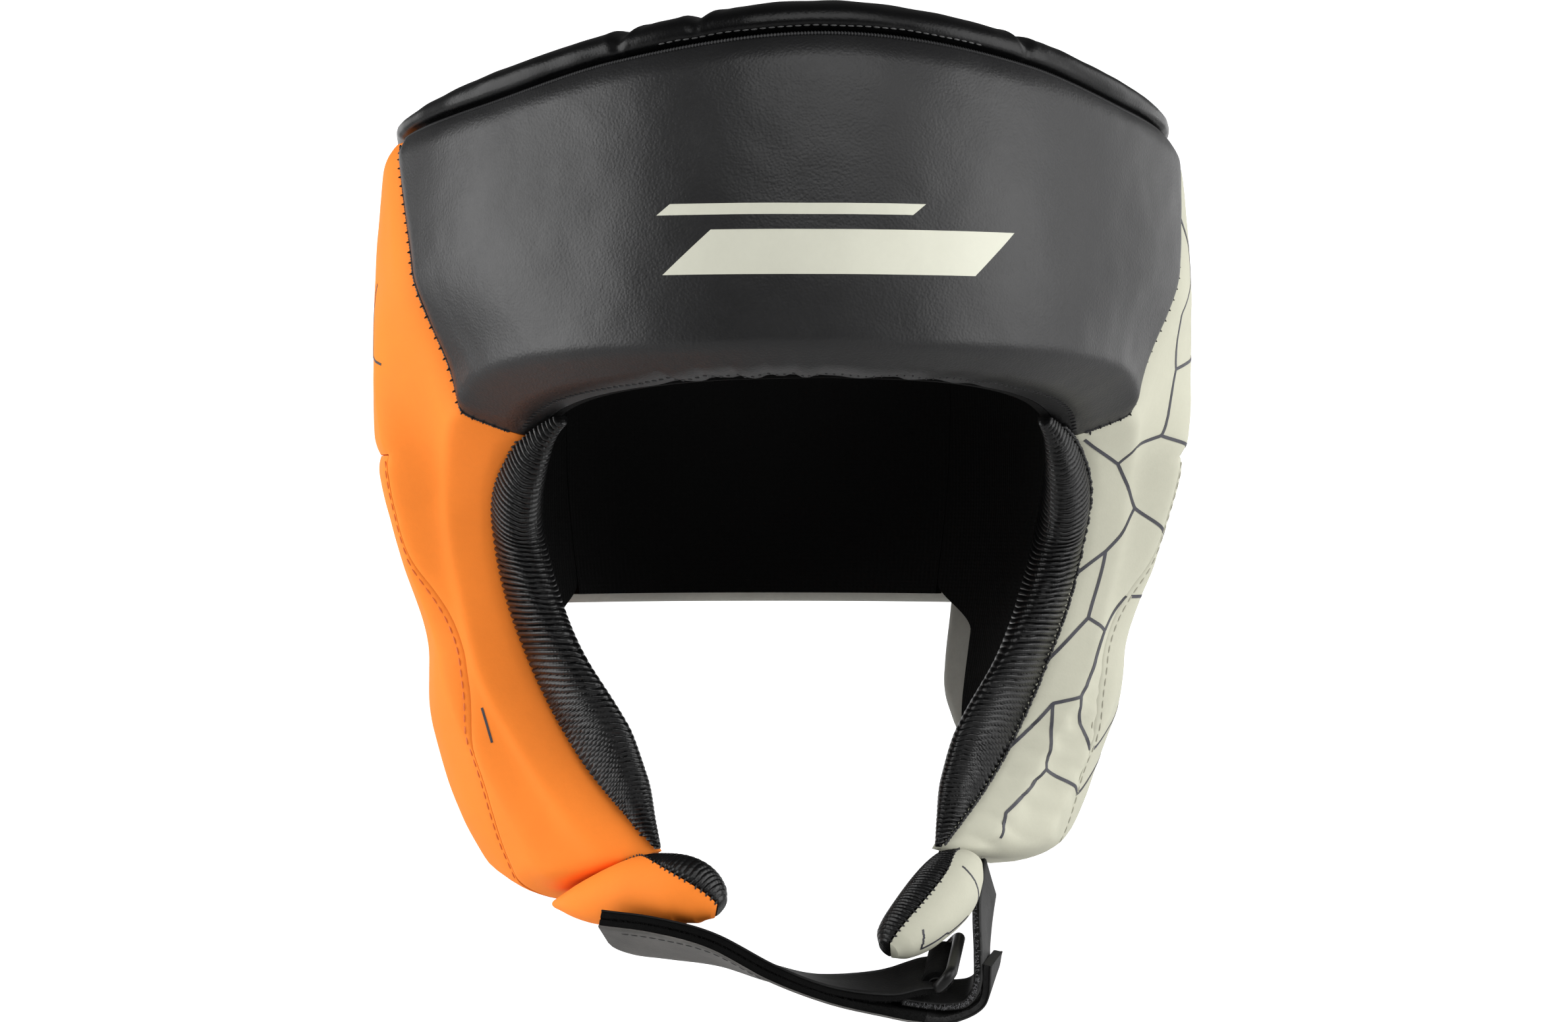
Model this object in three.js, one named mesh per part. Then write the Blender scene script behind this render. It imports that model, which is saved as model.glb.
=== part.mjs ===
// Open-face sparring headgear: padded panels sewn into a ring round the head, with cheek and ear pads,
// ribbed rolls round the face opening, chin flaps and a chin strap in two layers.
// Millimetres, +Z up. The face looks along -Y and the wearer's left is +X.
// The origin is the centre of the head hollow, level with the middle of the brow's lower edge.
import * as THREE from "three";

// Clearance between sewn pieces, lining thickness, and how far a panel dips where it is sewn.
const GAP = 0.3;
const LINING = 3;
const SEAM_DIP = 1.8;

// Pad thickness over the forehead and the back of the head.
const FOREHEAD_PAD = 27;
const BACK_PAD = 24;

// Turns round the head from the middle of the brow, in degrees, where one thickness gives way to the next.
const FOREHEAD_PAD_ENDS = 36;
const SIDE_PAD_BEGINS = 90;
const SIDE_PAD_ENDS = 108;
const BACK_PAD_BEGINS = 142;

// Turns of the rim above the stitched line, of the seam between side and back, and of the back's middle.
const EAR_LINE_RIM = 98;
const BACK_SEAM = 132;
const MIDDLE_OF_BACK = 180;

// Heights of the seam over the ear and of the back pad's lower edge.
const EAR_SEAM_Z = -20;
const BACK_EDGE_Z = -64;

// The straps with their hook and loop, the plastic ring, and how far the inner strap folds back round it.
const STRAP = { width: 24, thick: 2.2 };
const TAB = { width: 19, thick: 2 };
const RING = { bar: 3.4, reach: 6.5, inside: 26.2, corner: 2.6 };
const STRAP_RETURN = 2;

// The hollow for the head: an oval at each height, its middle set back from the origin by centre.
const HOLLOW = [
  { z: 120, halfWidth: 68, centre: 3, front: 80, back: 84 },
  { z: 70, halfWidth: 75, centre: 0, front: 92, back: 94 },
  { z: 10, halfWidth: 78, centre: 0, front: 97, back: 98 },
  { z: -35, halfWidth: 77, centre: 8, front: 94, back: 90 },
  { z: -80, halfWidth: 69, centre: 18, front: 76, back: 76 },
  { z: -105, halfWidth: 62, centre: 24, front: 74, back: 66 },
  { z: -130, halfWidth: 54, centre: 28, front: 80, back: 56 },
  { z: -165, halfWidth: 44, centre: 30, front: 86, back: 44 },
];

// Thickness of the side, cheek and ear pads at each height.
const SIDE_PAD = [
  { z: 100, pad: 38 },
  { z: 60, pad: 40 },
  { z: 0, pad: 40.5 },
  { z: -20, pad: 39.5 },
  { z: -50, pad: 35 },
  { z: -75, pad: 32 },
  { z: -100, pad: 38 },
  { z: -125, pad: 39 },
  { z: -148, pad: 32 },
];

// The upper rim of the pads, alike on both sides, and the height of the roll that lies on it.
const RIM = [
  { turn: -35, z: 85, roll: 10 },
  { turn: 0, z: 92, roll: 9.5 },
  { turn: 35, z: 85, roll: 10 },
  { turn: 60, z: 75.5, roll: 10.5 },
  { turn: 84, z: 69.5, roll: 8 },
  { turn: 110, z: 65, roll: 8 },
  { turn: 138, z: 62, roll: 8 },
  { turn: 180, z: 61, roll: 8 },
];

// The edge of the face opening from the middle of the brow down to the chin. wall is how thick the pad's
// edge is there; over the width of the bevel it thickens to the ridge, and over the shoulder to full.
const OPENING = [
  { turn: 0, z: 0, wall: 15, bevel: 8.5, ridge: 26.5, shoulder: 20 },
  { turn: 25, z: -1, wall: 15, bevel: 8.5, ridge: 26.5, shoulder: 20 },
  { turn: 45, z: -4, wall: 14, bevel: 10, ridge: 26.5, shoulder: 26 },
  { turn: 58, z: -8.5, wall: 12, bevel: 10.5, ridge: 26, shoulder: 34 },
  { turn: 66, z: -15, wall: 10, bevel: 9, ridge: 25, shoulder: 38 },
  { turn: 73, z: -28, wall: 11, bevel: 8, ridge: 24, shoulder: 13 },
  { turn: 76, z: -42, wall: 11, bevel: 6, ridge: 24, shoulder: 8 },
  { turn: 74, z: -62, wall: 11, bevel: 6, ridge: 24, shoulder: 8 },
  { turn: 68, z: -84, wall: 10, bevel: 6, ridge: 25, shoulder: 8 },
  { turn: 58, z: -106, wall: 10, bevel: 7, ridge: 25, shoulder: 9 },
  { turn: 48, z: -122, wall: 9, bevel: 9, ridge: 22, shoulder: 14 },
  { turn: 42, z: -132, wall: 8, bevel: 9, ridge: 18, shoulder: 18 },
];
const BROW_ROWS = 5;
const BROW = OPENING.slice(0, BROW_ROWS);
const BROW_TIP = OPENING[BROW_ROWS - 1];
const CHIN_END = OPENING[OPENING.length - 1];

// The seam between forehead and side, from the rim to the brow.
const FOREHEAD_SEAM = [
  { at: 0, turn: 84 },
  { at: 0.4, turn: 75 },
  { at: 0.78, turn: 72 },
  { at: 0.92, turn: 70.5 },
  { at: 1, turn: BROW_TIP.turn },
];

// The topstitched seam between cheek pad and ear pad, from the ear seam down to the jaw.
const STITCH_LINE = [
  { at: 0, turn: 84, z: EAR_SEAM_Z },
  { at: 0.25, turn: 84, z: -48 },
  { at: 0.5, turn: 76.5, z: -78 },
  { at: 0.7, turn: 71.5, z: -104 },
  { at: 0.85, turn: 71, z: -124 },
  { at: 1, turn: 75, z: -149 },
];

// The ear pad's rear edge: along the back pad, then free and round to the jaw.
const REAR_EDGE = [
  { at: 0, turn: BACK_SEAM, z: EAR_SEAM_Z },
  { at: 0.4, turn: BACK_SEAM, z: BACK_EDGE_Z },
  { at: 0.7, turn: 128, z: -97 },
  { at: 0.9, turn: 112, z: -130 },
  { at: 1, turn: 93, z: -149 },
];

// How each jaw departs from the lines above: how much higher its stitched line and its rear edge end, from
// this share of the way down, and how much slimmer its pad gets between these heights.
const JAW_RIGHT = { stitchLift: 0, rearLift: 5, slim: 2.5 };
const JAW_LEFT = { stitchLift: 10, rearLift: 20, slim: 4.5 };
const JAW_BEGINS = 0.6;
const JAW_SLIM_FROM = -80;
const JAW_SLIM_TO = -115;

// Shares of a panel's height or width at which its grid lines lie, closer near the seams.
const UPPER_ROWS = [0, 0.07, 0.22, 0.45, 0.66, 0.8, 0.89, 0.95, 1];
const LOWER_ROWS = [0, 0.07, 0.2, 0.375, 0.4, 0.52, 0.64, 0.75, 0.86, 0.94, 1];
const CHEEK_COLUMNS = [0, 0.22, 0.45, 0.75, 1];
const EAR_COLUMNS = [0, 0.12, 0.3, 0.5, 0.68, 0.84, 1];
const FOREHEAD_HALF = [0.15, 0.3, 0.46, 0.62, 0.78, 0.92, 1];
const FOREHEAD_COLUMNS = [...FOREHEAD_HALF.map((share) => -share).reverse(), 0, ...FOREHEAD_HALF];
const BACK_COLUMNS = [0, 0.08, 0.22, 0.36, 0.5, 0.64, 0.78, 0.92, 1];
const BACK_EDGE_ROW = LOWER_ROWS.indexOf(0.4);

// How far the crown roll stays inside the pads' outer face, how square its section is across and up, and
// the folds that pinch it, each drawing the roll down by its depth and in by a share of that.
const CROWN_ROLL = { inset: 2.5, sides: 10, steps: 48, across: 0.7, up: 0.8 };
const CROWN_FOLDS = [
  { turn: -34, depth: 0.16 },
  { turn: -21, depth: 0.12 },
  { turn: 35, depth: 0.16 },
];
const CROWN_FOLD_SPREAD = 2.6;
const CROWN_FOLD_IN = 0.3;

// The ribbed roll along the face opening: share of the way from the brow to the chin, how far it bulges
// into the opening, and how far it reaches past the pad's edge towards the outer and the inner face.
const FACE_ROLL_START = 36;
const FACE_ROLL = [
  { at: 0, bulge: 0.5, outer: -12.5, inner: 0 },
  { at: 0.1, bulge: 1.4, outer: -11, inner: 0 },
  { at: 0.16, bulge: 3.4, outer: -7, inner: 0 },
  { at: 0.24, bulge: 8, outer: -1.5, inner: 1 },
  { at: 0.37, bulge: 13, outer: 1, inner: 2 },
  { at: 0.5, bulge: 15, outer: 1, inner: 3 },
  { at: 0.68, bulge: 17.5, outer: 1, inner: 3 },
  { at: 0.86, bulge: 16.5, outer: 1, inner: 3 },
  { at: 0.93, bulge: 10.5, outer: 1, inner: 1 },
  { at: 0.97, bulge: 4.5, outer: 0, inner: -2 },
  { at: 1, bulge: 1.5, outer: -1, inner: -5 },
];
const FACE_ROLL_STEPS = 30;
const ROLL_ARC_SIDES = 7;
const ROLL_CLEAR = 1.1;
const ROLL_SQUARENESS = 0.8;
// The roll's sections lie closer together at the brow, where it bends most.
const ROLL_CROWDING = 1.6;

// The chin flaps: a tongue on the head's surface from its root to its tip. offset is the distance of its
// middle from the hollow, tall and thick are half its height and half its thickness, and seam is the
// direction round its section, from its upper edge, where the vinyl of its front meets the lining.
const FLAP_RIGHT = [
  { at: 0, turn: 68, z: -148.6, offset: 16, tall: 2.4, thick: 7, seam: 0 },
  { at: 0.2, turn: 55, z: -146.4, offset: 15, tall: 7, thick: 10, seam: 0 },
  { at: 0.5, turn: 43, z: -142.6, offset: 12.5, tall: 9.4, thick: 9.5, seam: 4 },
  { at: 0.62, turn: 37.4, z: -142, offset: 11.3, tall: 10, thick: 8.7, seam: 30 },
  { at: 0.8, turn: 30.5, z: -142.4, offset: 10, tall: 9.5, thick: 8, seam: 56 },
  { at: 0.94, turn: 25.5, z: -145, offset: 9, tall: 6.8, thick: 6, seam: 58 },
  { at: 1, turn: 23, z: -146.8, offset: 9, tall: 3.2, thick: 3, seam: 54 },
];
const FLAP_LEFT = [
  { at: 0, turn: 47, z: -135.7, offset: 11, tall: 5, thick: 5.4, seam: 4 },
  { at: 0.16, turn: 44.2, z: -138.8, offset: 11, tall: 8.4, thick: 7.6, seam: 14 },
  { at: 0.45, turn: 39, z: -144.4, offset: 11, tall: 9.9, thick: 9, seam: 27 },
  { at: 0.78, turn: 30.5, z: -152, offset: 10, tall: 8.5, thick: 8, seam: 33 },
  { at: 0.93, turn: 25, z: -156.5, offset: 9, tall: 6, thick: 6, seam: 36 },
  { at: 1, turn: 22.5, z: -158.5, offset: 9, tall: 3, thick: 3, seam: 36 },
];
const FLAP_STEPS = [0, 0.08, 0.2, 0.35, 0.5, 0.65, 0.8, 0.9, 0.96, 1];
// The direction, under the flap, where the vinyl ends and the lining begins again.
const FLAP_UNDERSIDE = 200;
const FLAP_SIDES = 8;

// The outer strap's route from its free end under the right flap to the tab. slew and rise are how far its
// front edge leans aside and up for each unit forward, lift the height of the inner strap above it.
const CHIN_ROUTE = [
  { x: -54.5, y: -41, z: -155.5, slew: -0.31, rise: 0.45, lift: 3 },
  { x: -40, y: -46, z: -157, slew: -0.31, rise: 0.42, lift: 3 },
  { x: -25, y: -50, z: -160, slew: -0.25, rise: 0.3, lift: 3 },
  { x: -10, y: -52, z: -166.5, slew: -0.13, rise: 0.1, lift: 3 },
  { x: 4.6, y: -52.5, z: -171, slew: 0, rise: -0.05, lift: 3 },
  { x: 21.4, y: -51, z: -173.5, slew: 0, rise: -0.2, lift: 4.8 },
  { x: 32, y: -48, z: -174.5, slew: -0.15, rise: -0.3, lift: 8.8 },
  { x: 42.5, y: -44, z: -175.5, slew: -0.25, rise: -0.3, lift: 11.4 },
  { x: 52.9, y: -41.5, z: -171.2, slew: -0.27, rise: -0.3, lift: 8 },
  { x: 55, y: -41, z: -162.5, slew: -0.3, rise: -0.1, lift: 3 },
];
const INNER_STRAP_END = 0.76;
const CHIN_STEPS = 26;

// The tab from the left cheek pad's lower edge, round the ring, to its loose end between the straps.
const TAB_ROUTE = [
  { x: 57.5, y: -12, z: -141.7, slew: -0.4, rise: 0.9 },
  { x: 54.5, y: -23, z: -150, slew: -0.4, rise: 0.9 },
  { x: 52.6, y: -33, z: -156.5, slew: -0.35, rise: 0.7 },
  { x: 51.6, y: -41, z: -162, slew: -0.3, rise: 0.2 },
  { x: 50.6, y: -45.5, z: -166.6, slew: -0.28, rise: -0.25 },
  { x: 47.6, y: -47, z: -170.8, slew: -0.27, rise: -0.3 },
  { x: 43, y: -47.5, z: -172, slew: -0.25, rise: -0.3 },
  { x: 35, y: -48.5, z: -171.5, slew: -0.15, rise: -0.3 },
  { x: 26.5, y: -51, z: -170.5, slew: 0, rise: -0.25 },
];
const TAB_STEPS = 18;

const COLOURS = {
  charcoal: { color: 0x3a3a3a, roughness: 0.6 },
  orange: { color: 0xfb8b3a, roughness: 0.5 },
  bone: { color: 0xc6c5b0, roughness: 0.5 },
  gloss: { color: 0x1a1a1b, roughness: 0.3 },
  lining: { color: 0x0b0b0b, roughness: 0.8 },
  ribbed: { color: 0x151515, roughness: 0.55 },
  strap: { color: 0x4a4946, roughness: 0.6 },
  plastic: { color: 0x1c1c1c, roughness: 0.45 },
};

const { degToRad, clamp, lerp, smoothstep } = THREE.MathUtils;

// The share of a path between two places that give its direction.
const NEARBY = 0.01;

// A smooth curve through one column of a table whose rows run in order of the key column.
function along(rows, key, at, column) {
  const last = rows.length - 1;
  const way = Math.sign(rows[last][key] - rows[0][key]);
  let k = 0;
  while (k < last - 1 && way * (at - rows[k + 1][key]) > 0) k += 1;
  const slope = (i) => {
    const before = rows[Math.max(i - 1, 0)];
    const after = rows[Math.min(i + 1, last)];
    return (after[column] - before[column]) / (after[key] - before[key]);
  };
  const span = rows[k + 1][key] - rows[k][key];
  const t = clamp((at - rows[k][key]) / span, 0, 1);
  const rest = 1 - t;
  const level = rows[k][column] * (1 + 2 * t) * rest * rest + rows[k + 1][column] * t * t * (3 - 2 * t);
  return level + span * t * rest * (slope(k) * rest - slope(k + 1) * t);
}

// A point on the head's surface and the level direction that points out of it.
function hollow(turn, z) {
  const angle = degToRad(turn);
  const reach = along(HOLLOW, "z", z, Math.cos(angle) > 0 ? "front" : "back");
  const halfWidth = along(HOLLOW, "z", z, "halfWidth");
  const centre = along(HOLLOW, "z", z, "centre");
  const point = new THREE.Vector3(halfWidth * Math.sin(angle), centre - reach * Math.cos(angle), z);
  const out = new THREE.Vector3(reach * Math.sin(angle), -halfWidth * Math.cos(angle), 0).normalize();
  return { point, out };
}

function shell(turn, z, offset) {
  const { point, out } = hollow(turn, z);
  return point.addScaledVector(out, offset);
}

// How thick the padding is away from seams and edges.
function fullPad(turn, z) {
  const round = Math.abs(turn);
  const side = along(SIDE_PAD, "z", z, "pad");
  const front = lerp(FOREHEAD_PAD, side, smoothstep(round, FOREHEAD_PAD_ENDS, SIDE_PAD_BEGINS));
  return lerp(front, BACK_PAD, smoothstep(round, SIDE_PAD_ENDS, BACK_PAD_BEGINS));
}

// Points along the face opening, with which every pad finds how near its edge it is.
const OPENING_STEPS = 60;
const OPENING_LINE = Array.from({ length: OPENING_STEPS + 1 }, (_, k) => {
  const at = (k / OPENING_STEPS) * (OPENING.length - 1);
  const row = Math.min(Math.floor(at), OPENING.length - 2);
  const z = lerp(OPENING[row].z, OPENING[row + 1].z, at - row);
  const turn = along(OPENING, "z", z, "turn");
  const wall = along(OPENING, "z", z, "wall");
  const bevel = along(OPENING, "z", z, "bevel");
  const ridge = along(OPENING, "z", z, "ridge");
  const shoulder = along(OPENING, "z", z, "shoulder");
  return { point: hollow(turn, z).point, wall, bevel, ridge, shoulder };
});

// The pad's outer face: full inside the panel, dipped at a seam, thinned to its wall at the face opening.
function outerFace(turn, z, sewn) {
  const { point } = hollow(Math.abs(turn), z);
  let nearest = OPENING_LINE[0];
  for (const place of OPENING_LINE) {
    if (place.point.distanceToSquared(point) < nearest.point.distanceToSquared(point)) nearest = place;
  }
  const distance = nearest.point.distanceTo(point);
  const full = fullPad(turn, z) - (sewn ? SEAM_DIP : 0);
  if (distance < nearest.bevel) return lerp(nearest.wall, nearest.ridge, distance / nearest.bevel);
  return lerp(nearest.ridge, full, smoothstep(distance - nearest.bevel, 0, nearest.shoulder));
}

// A closed mesh from points and triangles, with its faces turned outwards.
function solid(points, triangles) {
  let volume = 0;
  for (const [a, b, c] of triangles) volume += points[a].dot(points[b].clone().cross(points[c]));
  const faces = volume < 0 ? triangles.map(([a, b, c]) => [a, c, b]) : triangles;
  const geometry = new THREE.BufferGeometry().setFromPoints(points);
  geometry.setIndex(faces.flat());
  geometry.computeVertexNormals();
  return geometry;
}

// A panel over the cells of a grid that keep names. place gives each grid corner its turn and height, and
// faces its inner and outer offset from the hollow. Every border draws in by half the gap.
function panel(rows, columns, place, faces, keep = () => true) {
  const kept = (i, j) => i >= 0 && j >= 0 && i < rows && j < columns && keep(i, j);
  const points = [];
  const index = new Map();
  const corner = (i, j) => {
    const key = i * (columns + 1) + j;
    if (index.has(key)) return index.get(key);
    const around = [[kept(i - 1, j - 1), kept(i - 1, j)], [kept(i, j - 1), kept(i, j)]];
    const down = Math.sign(around[1][0] + around[1][1] - around[0][0] - around[0][1]);
    const onward = Math.sign(around[0][1] + around[1][1] - around[0][0] - around[1][0]);
    const here = place(i, j);
    const start = hollow(here.turn, here.z).point;
    const drawIn = (next) => {
      const share = GAP / 2 / hollow(next.turn, next.z).point.distanceTo(start);
      here.turn += (next.turn - here.turn) * share;
      here.z += (next.z - here.z) * share;
    };
    if (down) drawIn(place(i + down, j));
    if (onward) drawIn(place(i, j + onward));
    const { inner, outer } = faces(here, down !== 0 || onward !== 0);
    points.push(shell(here.turn, here.z, outer), shell(here.turn, here.z, inner));
    index.set(key, points.length - 2);
    return points.length - 2;
  };
  const triangles = [];
  const quad = (a, b, c, d) => triangles.push([a, b, c], [a, c, d]);
  for (let i = 0; i < rows; i += 1) {
    for (let j = 0; j < columns; j += 1) {
      if (!kept(i, j)) continue;
      const [a, b, c, d] = [corner(i, j), corner(i + 1, j), corner(i + 1, j + 1), corner(i, j + 1)];
      quad(a, b, c, d);
      quad(c + 1, b + 1, a + 1, d + 1);
      if (!kept(i - 1, j)) quad(d, d + 1, a + 1, a);
      if (!kept(i + 1, j)) quad(c, b, b + 1, c + 1);
      if (!kept(i, j - 1)) quad(a, a + 1, b + 1, b);
      if (!kept(i, j + 1)) quad(d, c, c + 1, d + 1);
    }
  }
  return solid(points, triangles);
}

const padFaces = ({ turn, z }, sewn, slim = 0) => ({
  inner: LINING + GAP,
  outer: outerFace(turn, z, sewn) - slim * smoothstep(-z, -JAW_SLIM_FROM, -JAW_SLIM_TO),
});
const liningFaces = () => ({ inner: 0, outer: LINING });

// Where the grid lines of the three kinds of panel lie.
function foreheadPlace(i, j) {
  const turn = FOREHEAD_COLUMNS[j] * along(FOREHEAD_SEAM, "at", UPPER_ROWS[i], "turn");
  const round = Math.abs(turn);
  return { turn, z: lerp(along(RIM, "turn", round, "z"), along(BROW, "turn", round, "z"), UPPER_ROWS[i]) };
}

const UPPER = UPPER_ROWS.length - 1;
const LOWER = LOWER_ROWS.length - 1;
const CHEEK = CHEEK_COLUMNS.length - 1;
const EAR = EAR_COLUMNS.length - 1;

function sidePlace(i, j, jaw) {
  const share = j <= CHEEK ? CHEEK_COLUMNS[j] : EAR_COLUMNS[j - CHEEK];
  if (i <= UPPER) {
    const down = UPPER_ROWS[i];
    const seam = along(FOREHEAD_SEAM, "at", down, "turn");
    const middle = lerp(EAR_LINE_RIM, STITCH_LINE[0].turn, down);
    const turn = j <= CHEEK ? lerp(seam, middle, share) : lerp(middle, BACK_SEAM, share);
    const low = j <= CHEEK ? lerp(BROW_TIP.z, EAR_SEAM_Z, share) : EAR_SEAM_Z;
    return { turn, z: lerp(along(RIM, "turn", turn, "z"), low, down) };
  }
  const down = LOWER_ROWS[i - UPPER];
  const lift = smoothstep(down, JAW_BEGINS, 1);
  const stitch = {
    turn: along(STITCH_LINE, "at", down, "turn"),
    z: along(STITCH_LINE, "at", down, "z") + jaw.stitchLift * lift,
  };
  const edgeZ = lerp(BROW_TIP.z, CHIN_END.z, down);
  const edge = { turn: along(OPENING, "z", edgeZ, "turn"), z: edgeZ };
  const rear = {
    turn: along(REAR_EDGE, "at", down, "turn"),
    z: along(REAR_EDGE, "at", down, "z") + jaw.rearLift * lift,
  };
  const [from, to] = j <= CHEEK ? [edge, stitch] : [stitch, rear];
  return { turn: lerp(from.turn, to.turn, share), z: lerp(from.z, to.z, share) };
}

function backPlace(i, j) {
  const seam = i <= UPPER ? BACK_SEAM : along(REAR_EDGE, "at", LOWER_ROWS[i - UPPER], "turn");
  const turn = lerp(seam, 2 * MIDDLE_OF_BACK - seam, BACK_COLUMNS[j]);
  if (i <= UPPER) {
    const rim = along(RIM, "turn", MIDDLE_OF_BACK - Math.abs(turn - MIDDLE_OF_BACK), "z");
    return { turn, z: lerp(rim, EAR_SEAM_Z, UPPER_ROWS[i]) };
  }
  return { turn, z: along(REAR_EDGE, "at", LOWER_ROWS[i - UPPER], "z") };
}

// A body through rings of points, capped at both ends, or joined end to start.
function loft(rings, joined = false) {
  const sides = rings[0].length;
  const points = rings.flat();
  const triangles = [];
  const spans = joined ? rings.length : rings.length - 1;
  for (let i = 0; i < spans; i += 1) {
    const here = i * sides;
    const next = ((i + 1) % rings.length) * sides;
    for (let j = 0; j < sides; j += 1) {
      const k = (j + 1) % sides;
      triangles.push([here + j, here + k, next + k], [here + j, next + k, next + j]);
    }
  }
  if (!joined) {
    const end = (rings.length - 1) * sides;
    for (let j = 1; j < sides - 1; j += 1) {
      triangles.push([0, j + 1, j], [end, end + j, end + j + 1]);
    }
  }
  return solid(points, triangles);
}

// The crown roll: a flattened roll that lies on the pads' upper edge all the way round.
function crownRoll() {
  const turns = Array.from({ length: CROWN_ROLL.steps }, (_, k) => (k * 360) / CROWN_ROLL.steps - 180);
  for (const { turn } of CROWN_FOLDS) {
    turns.push(turn - CROWN_FOLD_SPREAD, turn, turn + CROWN_FOLD_SPREAD);
  }
  turns.sort((a, b) => a - b);
  const rings = turns.map((turn) => {
    const base = along(RIM, "turn", Math.abs(turn), "z") + 2 * GAP;
    let pinch = 1;
    for (const fold of CROWN_FOLDS) {
      pinch -= fold.depth * Math.exp(-(((turn - fold.turn) / CROWN_FOLD_SPREAD) ** 2) * 2);
    }
    const tall = along(RIM, "turn", Math.abs(turn), "roll");
    const outer = fullPad(turn, base) - CROWN_ROLL.inset;
    const middle = outer / 2;
    return Array.from({ length: CROWN_ROLL.sides }, (_, k) => {
      const angle = (k * 2 * Math.PI) / CROWN_ROLL.sides;
      const across = Math.sign(Math.cos(angle)) * Math.abs(Math.cos(angle)) ** CROWN_ROLL.across;
      const up = Math.sign(Math.sin(angle)) * Math.abs(Math.sin(angle)) ** CROWN_ROLL.up;
      const offset = middle + middle * across * lerp(1, pinch, CROWN_FOLD_IN);
      const height = base + (tall / 2) * pinch * (1 + up);
      return shell(turn, height, offset);
    });
  });
  return loft(rings, true);
}

// The ribbed roll: a D-shaped bead whose flat side lies along the edge of the face opening.
function faceRollPath(share) {
  const start = along(BROW, "turn", FACE_ROLL_START, "z");
  const z = lerp(start, CHIN_END.z, share ** ROLL_CROWDING);
  return { turn: along(OPENING, "z", z, "turn"), z, wall: along(OPENING, "z", z, "wall") };
}

function faceRoll() {
  const rings = [];
  for (let k = 0; k <= FACE_ROLL_STEPS; k += 1) {
    const share = k / FACE_ROLL_STEPS;
    const here = faceRollPath(share);
    const before = faceRollPath(Math.max(share - NEARBY, 0));
    const after = faceRollPath(Math.min(share + NEARBY, 1));
    const { out } = hollow(here.turn, here.z);
    const way = shell(after.turn, after.z, 0).sub(shell(before.turn, before.z, 0)).normalize();
    const into = way.cross(out).normalize();
    const bulge = along(FACE_ROLL, "at", share, "bulge");
    const outer = here.wall + along(FACE_ROLL, "at", share, "outer");
    const inner = -along(FACE_ROLL, "at", share, "inner");
    rings.push(
      Array.from({ length: ROLL_ARC_SIDES + 1 }, (_, j) => {
        const angle = lerp(-90, 90, j / ROLL_ARC_SIDES);
        const across = ROLL_CLEAR + bulge * Math.cos(degToRad(angle)) ** ROLL_SQUARENESS;
        const offset = lerp(inner, outer, (1 + Math.sin(degToRad(angle))) / 2);
        return shell(here.turn, here.z, offset).addScaledVector(into, across);
      }),
    );
  }
  return loft(rings);
}

// One part of a chin flap, vinyl or lining: a stretch of its oval section, along the whole tongue.
function flap(rows, isVinyl) {
  const place = (at) => shell(along(rows, "at", at, "turn"), along(rows, "at", at, "z"), 0);
  const rings = FLAP_STEPS.map((at) => {
    const turn = along(rows, "at", at, "turn");
    const z = along(rows, "at", at, "z");
    const { out } = hollow(turn, z);
    const way = place(Math.min(at + NEARBY, 1)).sub(place(Math.max(at - NEARBY, 0))).normalize();
    const up = way.cross(out).normalize();
    const centre = shell(turn, z, along(rows, "at", at, "offset"));
    const tall = along(rows, "at", at, "tall");
    const thick = along(rows, "at", at, "thick");
    const seam = along(rows, "at", at, "seam");
    const [from, to] = isVinyl ? [seam, FLAP_UNDERSIDE] : [FLAP_UNDERSIDE - 360, seam];
    const turnAside = degToRad((from + to) / 2);
    centre.addScaledVector(up, Math.cos(turnAside) * GAP).addScaledVector(out, Math.sin(turnAside) * GAP);
    return Array.from({ length: FLAP_SIDES + 1 }, (_, j) => {
      const angle = degToRad(lerp(from, to, j / FLAP_SIDES));
      const point = centre.clone().addScaledVector(up, tall * Math.cos(angle));
      return point.addScaledVector(out, thick * Math.sin(angle));
    });
  });
  return loft(rings);
}

// A strap of even width along a route, its flat side turned by the lean of its front edge.
function strapFrame(route, at) {
  const last = route.length - 1;
  const rows = route.map((values, index) => ({ index, ...values }));
  const column = (share, name) => along(rows, "index", share * last, name);
  const place = (share) => new THREE.Vector3(column(share, "x"), column(share, "y"), column(share, "z"));
  const way = place(Math.min(at + NEARBY, 1)).sub(place(Math.max(at - NEARBY, 0))).normalize();
  const across = new THREE.Vector3(column(at, "slew"), -1, column(at, "rise")).normalize();
  const face = across.clone().cross(way).normalize();
  return { point: place(at), across, face, lift: column(at, "lift") };
}

function ribbon(stations, { width, thick }) {
  const rings = stations.map(({ point, across, face }) => {
    const corner = (side, layer) =>
      point.clone().addScaledVector(across, (side * width) / 2).addScaledVector(face, (layer * thick) / 2);
    return [corner(-1, -1), corner(1, -1), corner(1, 1), corner(-1, 1)];
  });
  return loft(rings);
}

const chinStations = (end) =>
  Array.from({ length: CHIN_STEPS + 1 }, (_, k) => strapFrame(CHIN_ROUTE, (end * k) / CHIN_STEPS));

// The inner strap lies on the outer one, lifts away from it and folds back over the ring's near bar.
const STRAP_TURN = RING.bar / 2 + GAP + STRAP.thick / 2;
const TURN_STEPS = 8;

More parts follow.
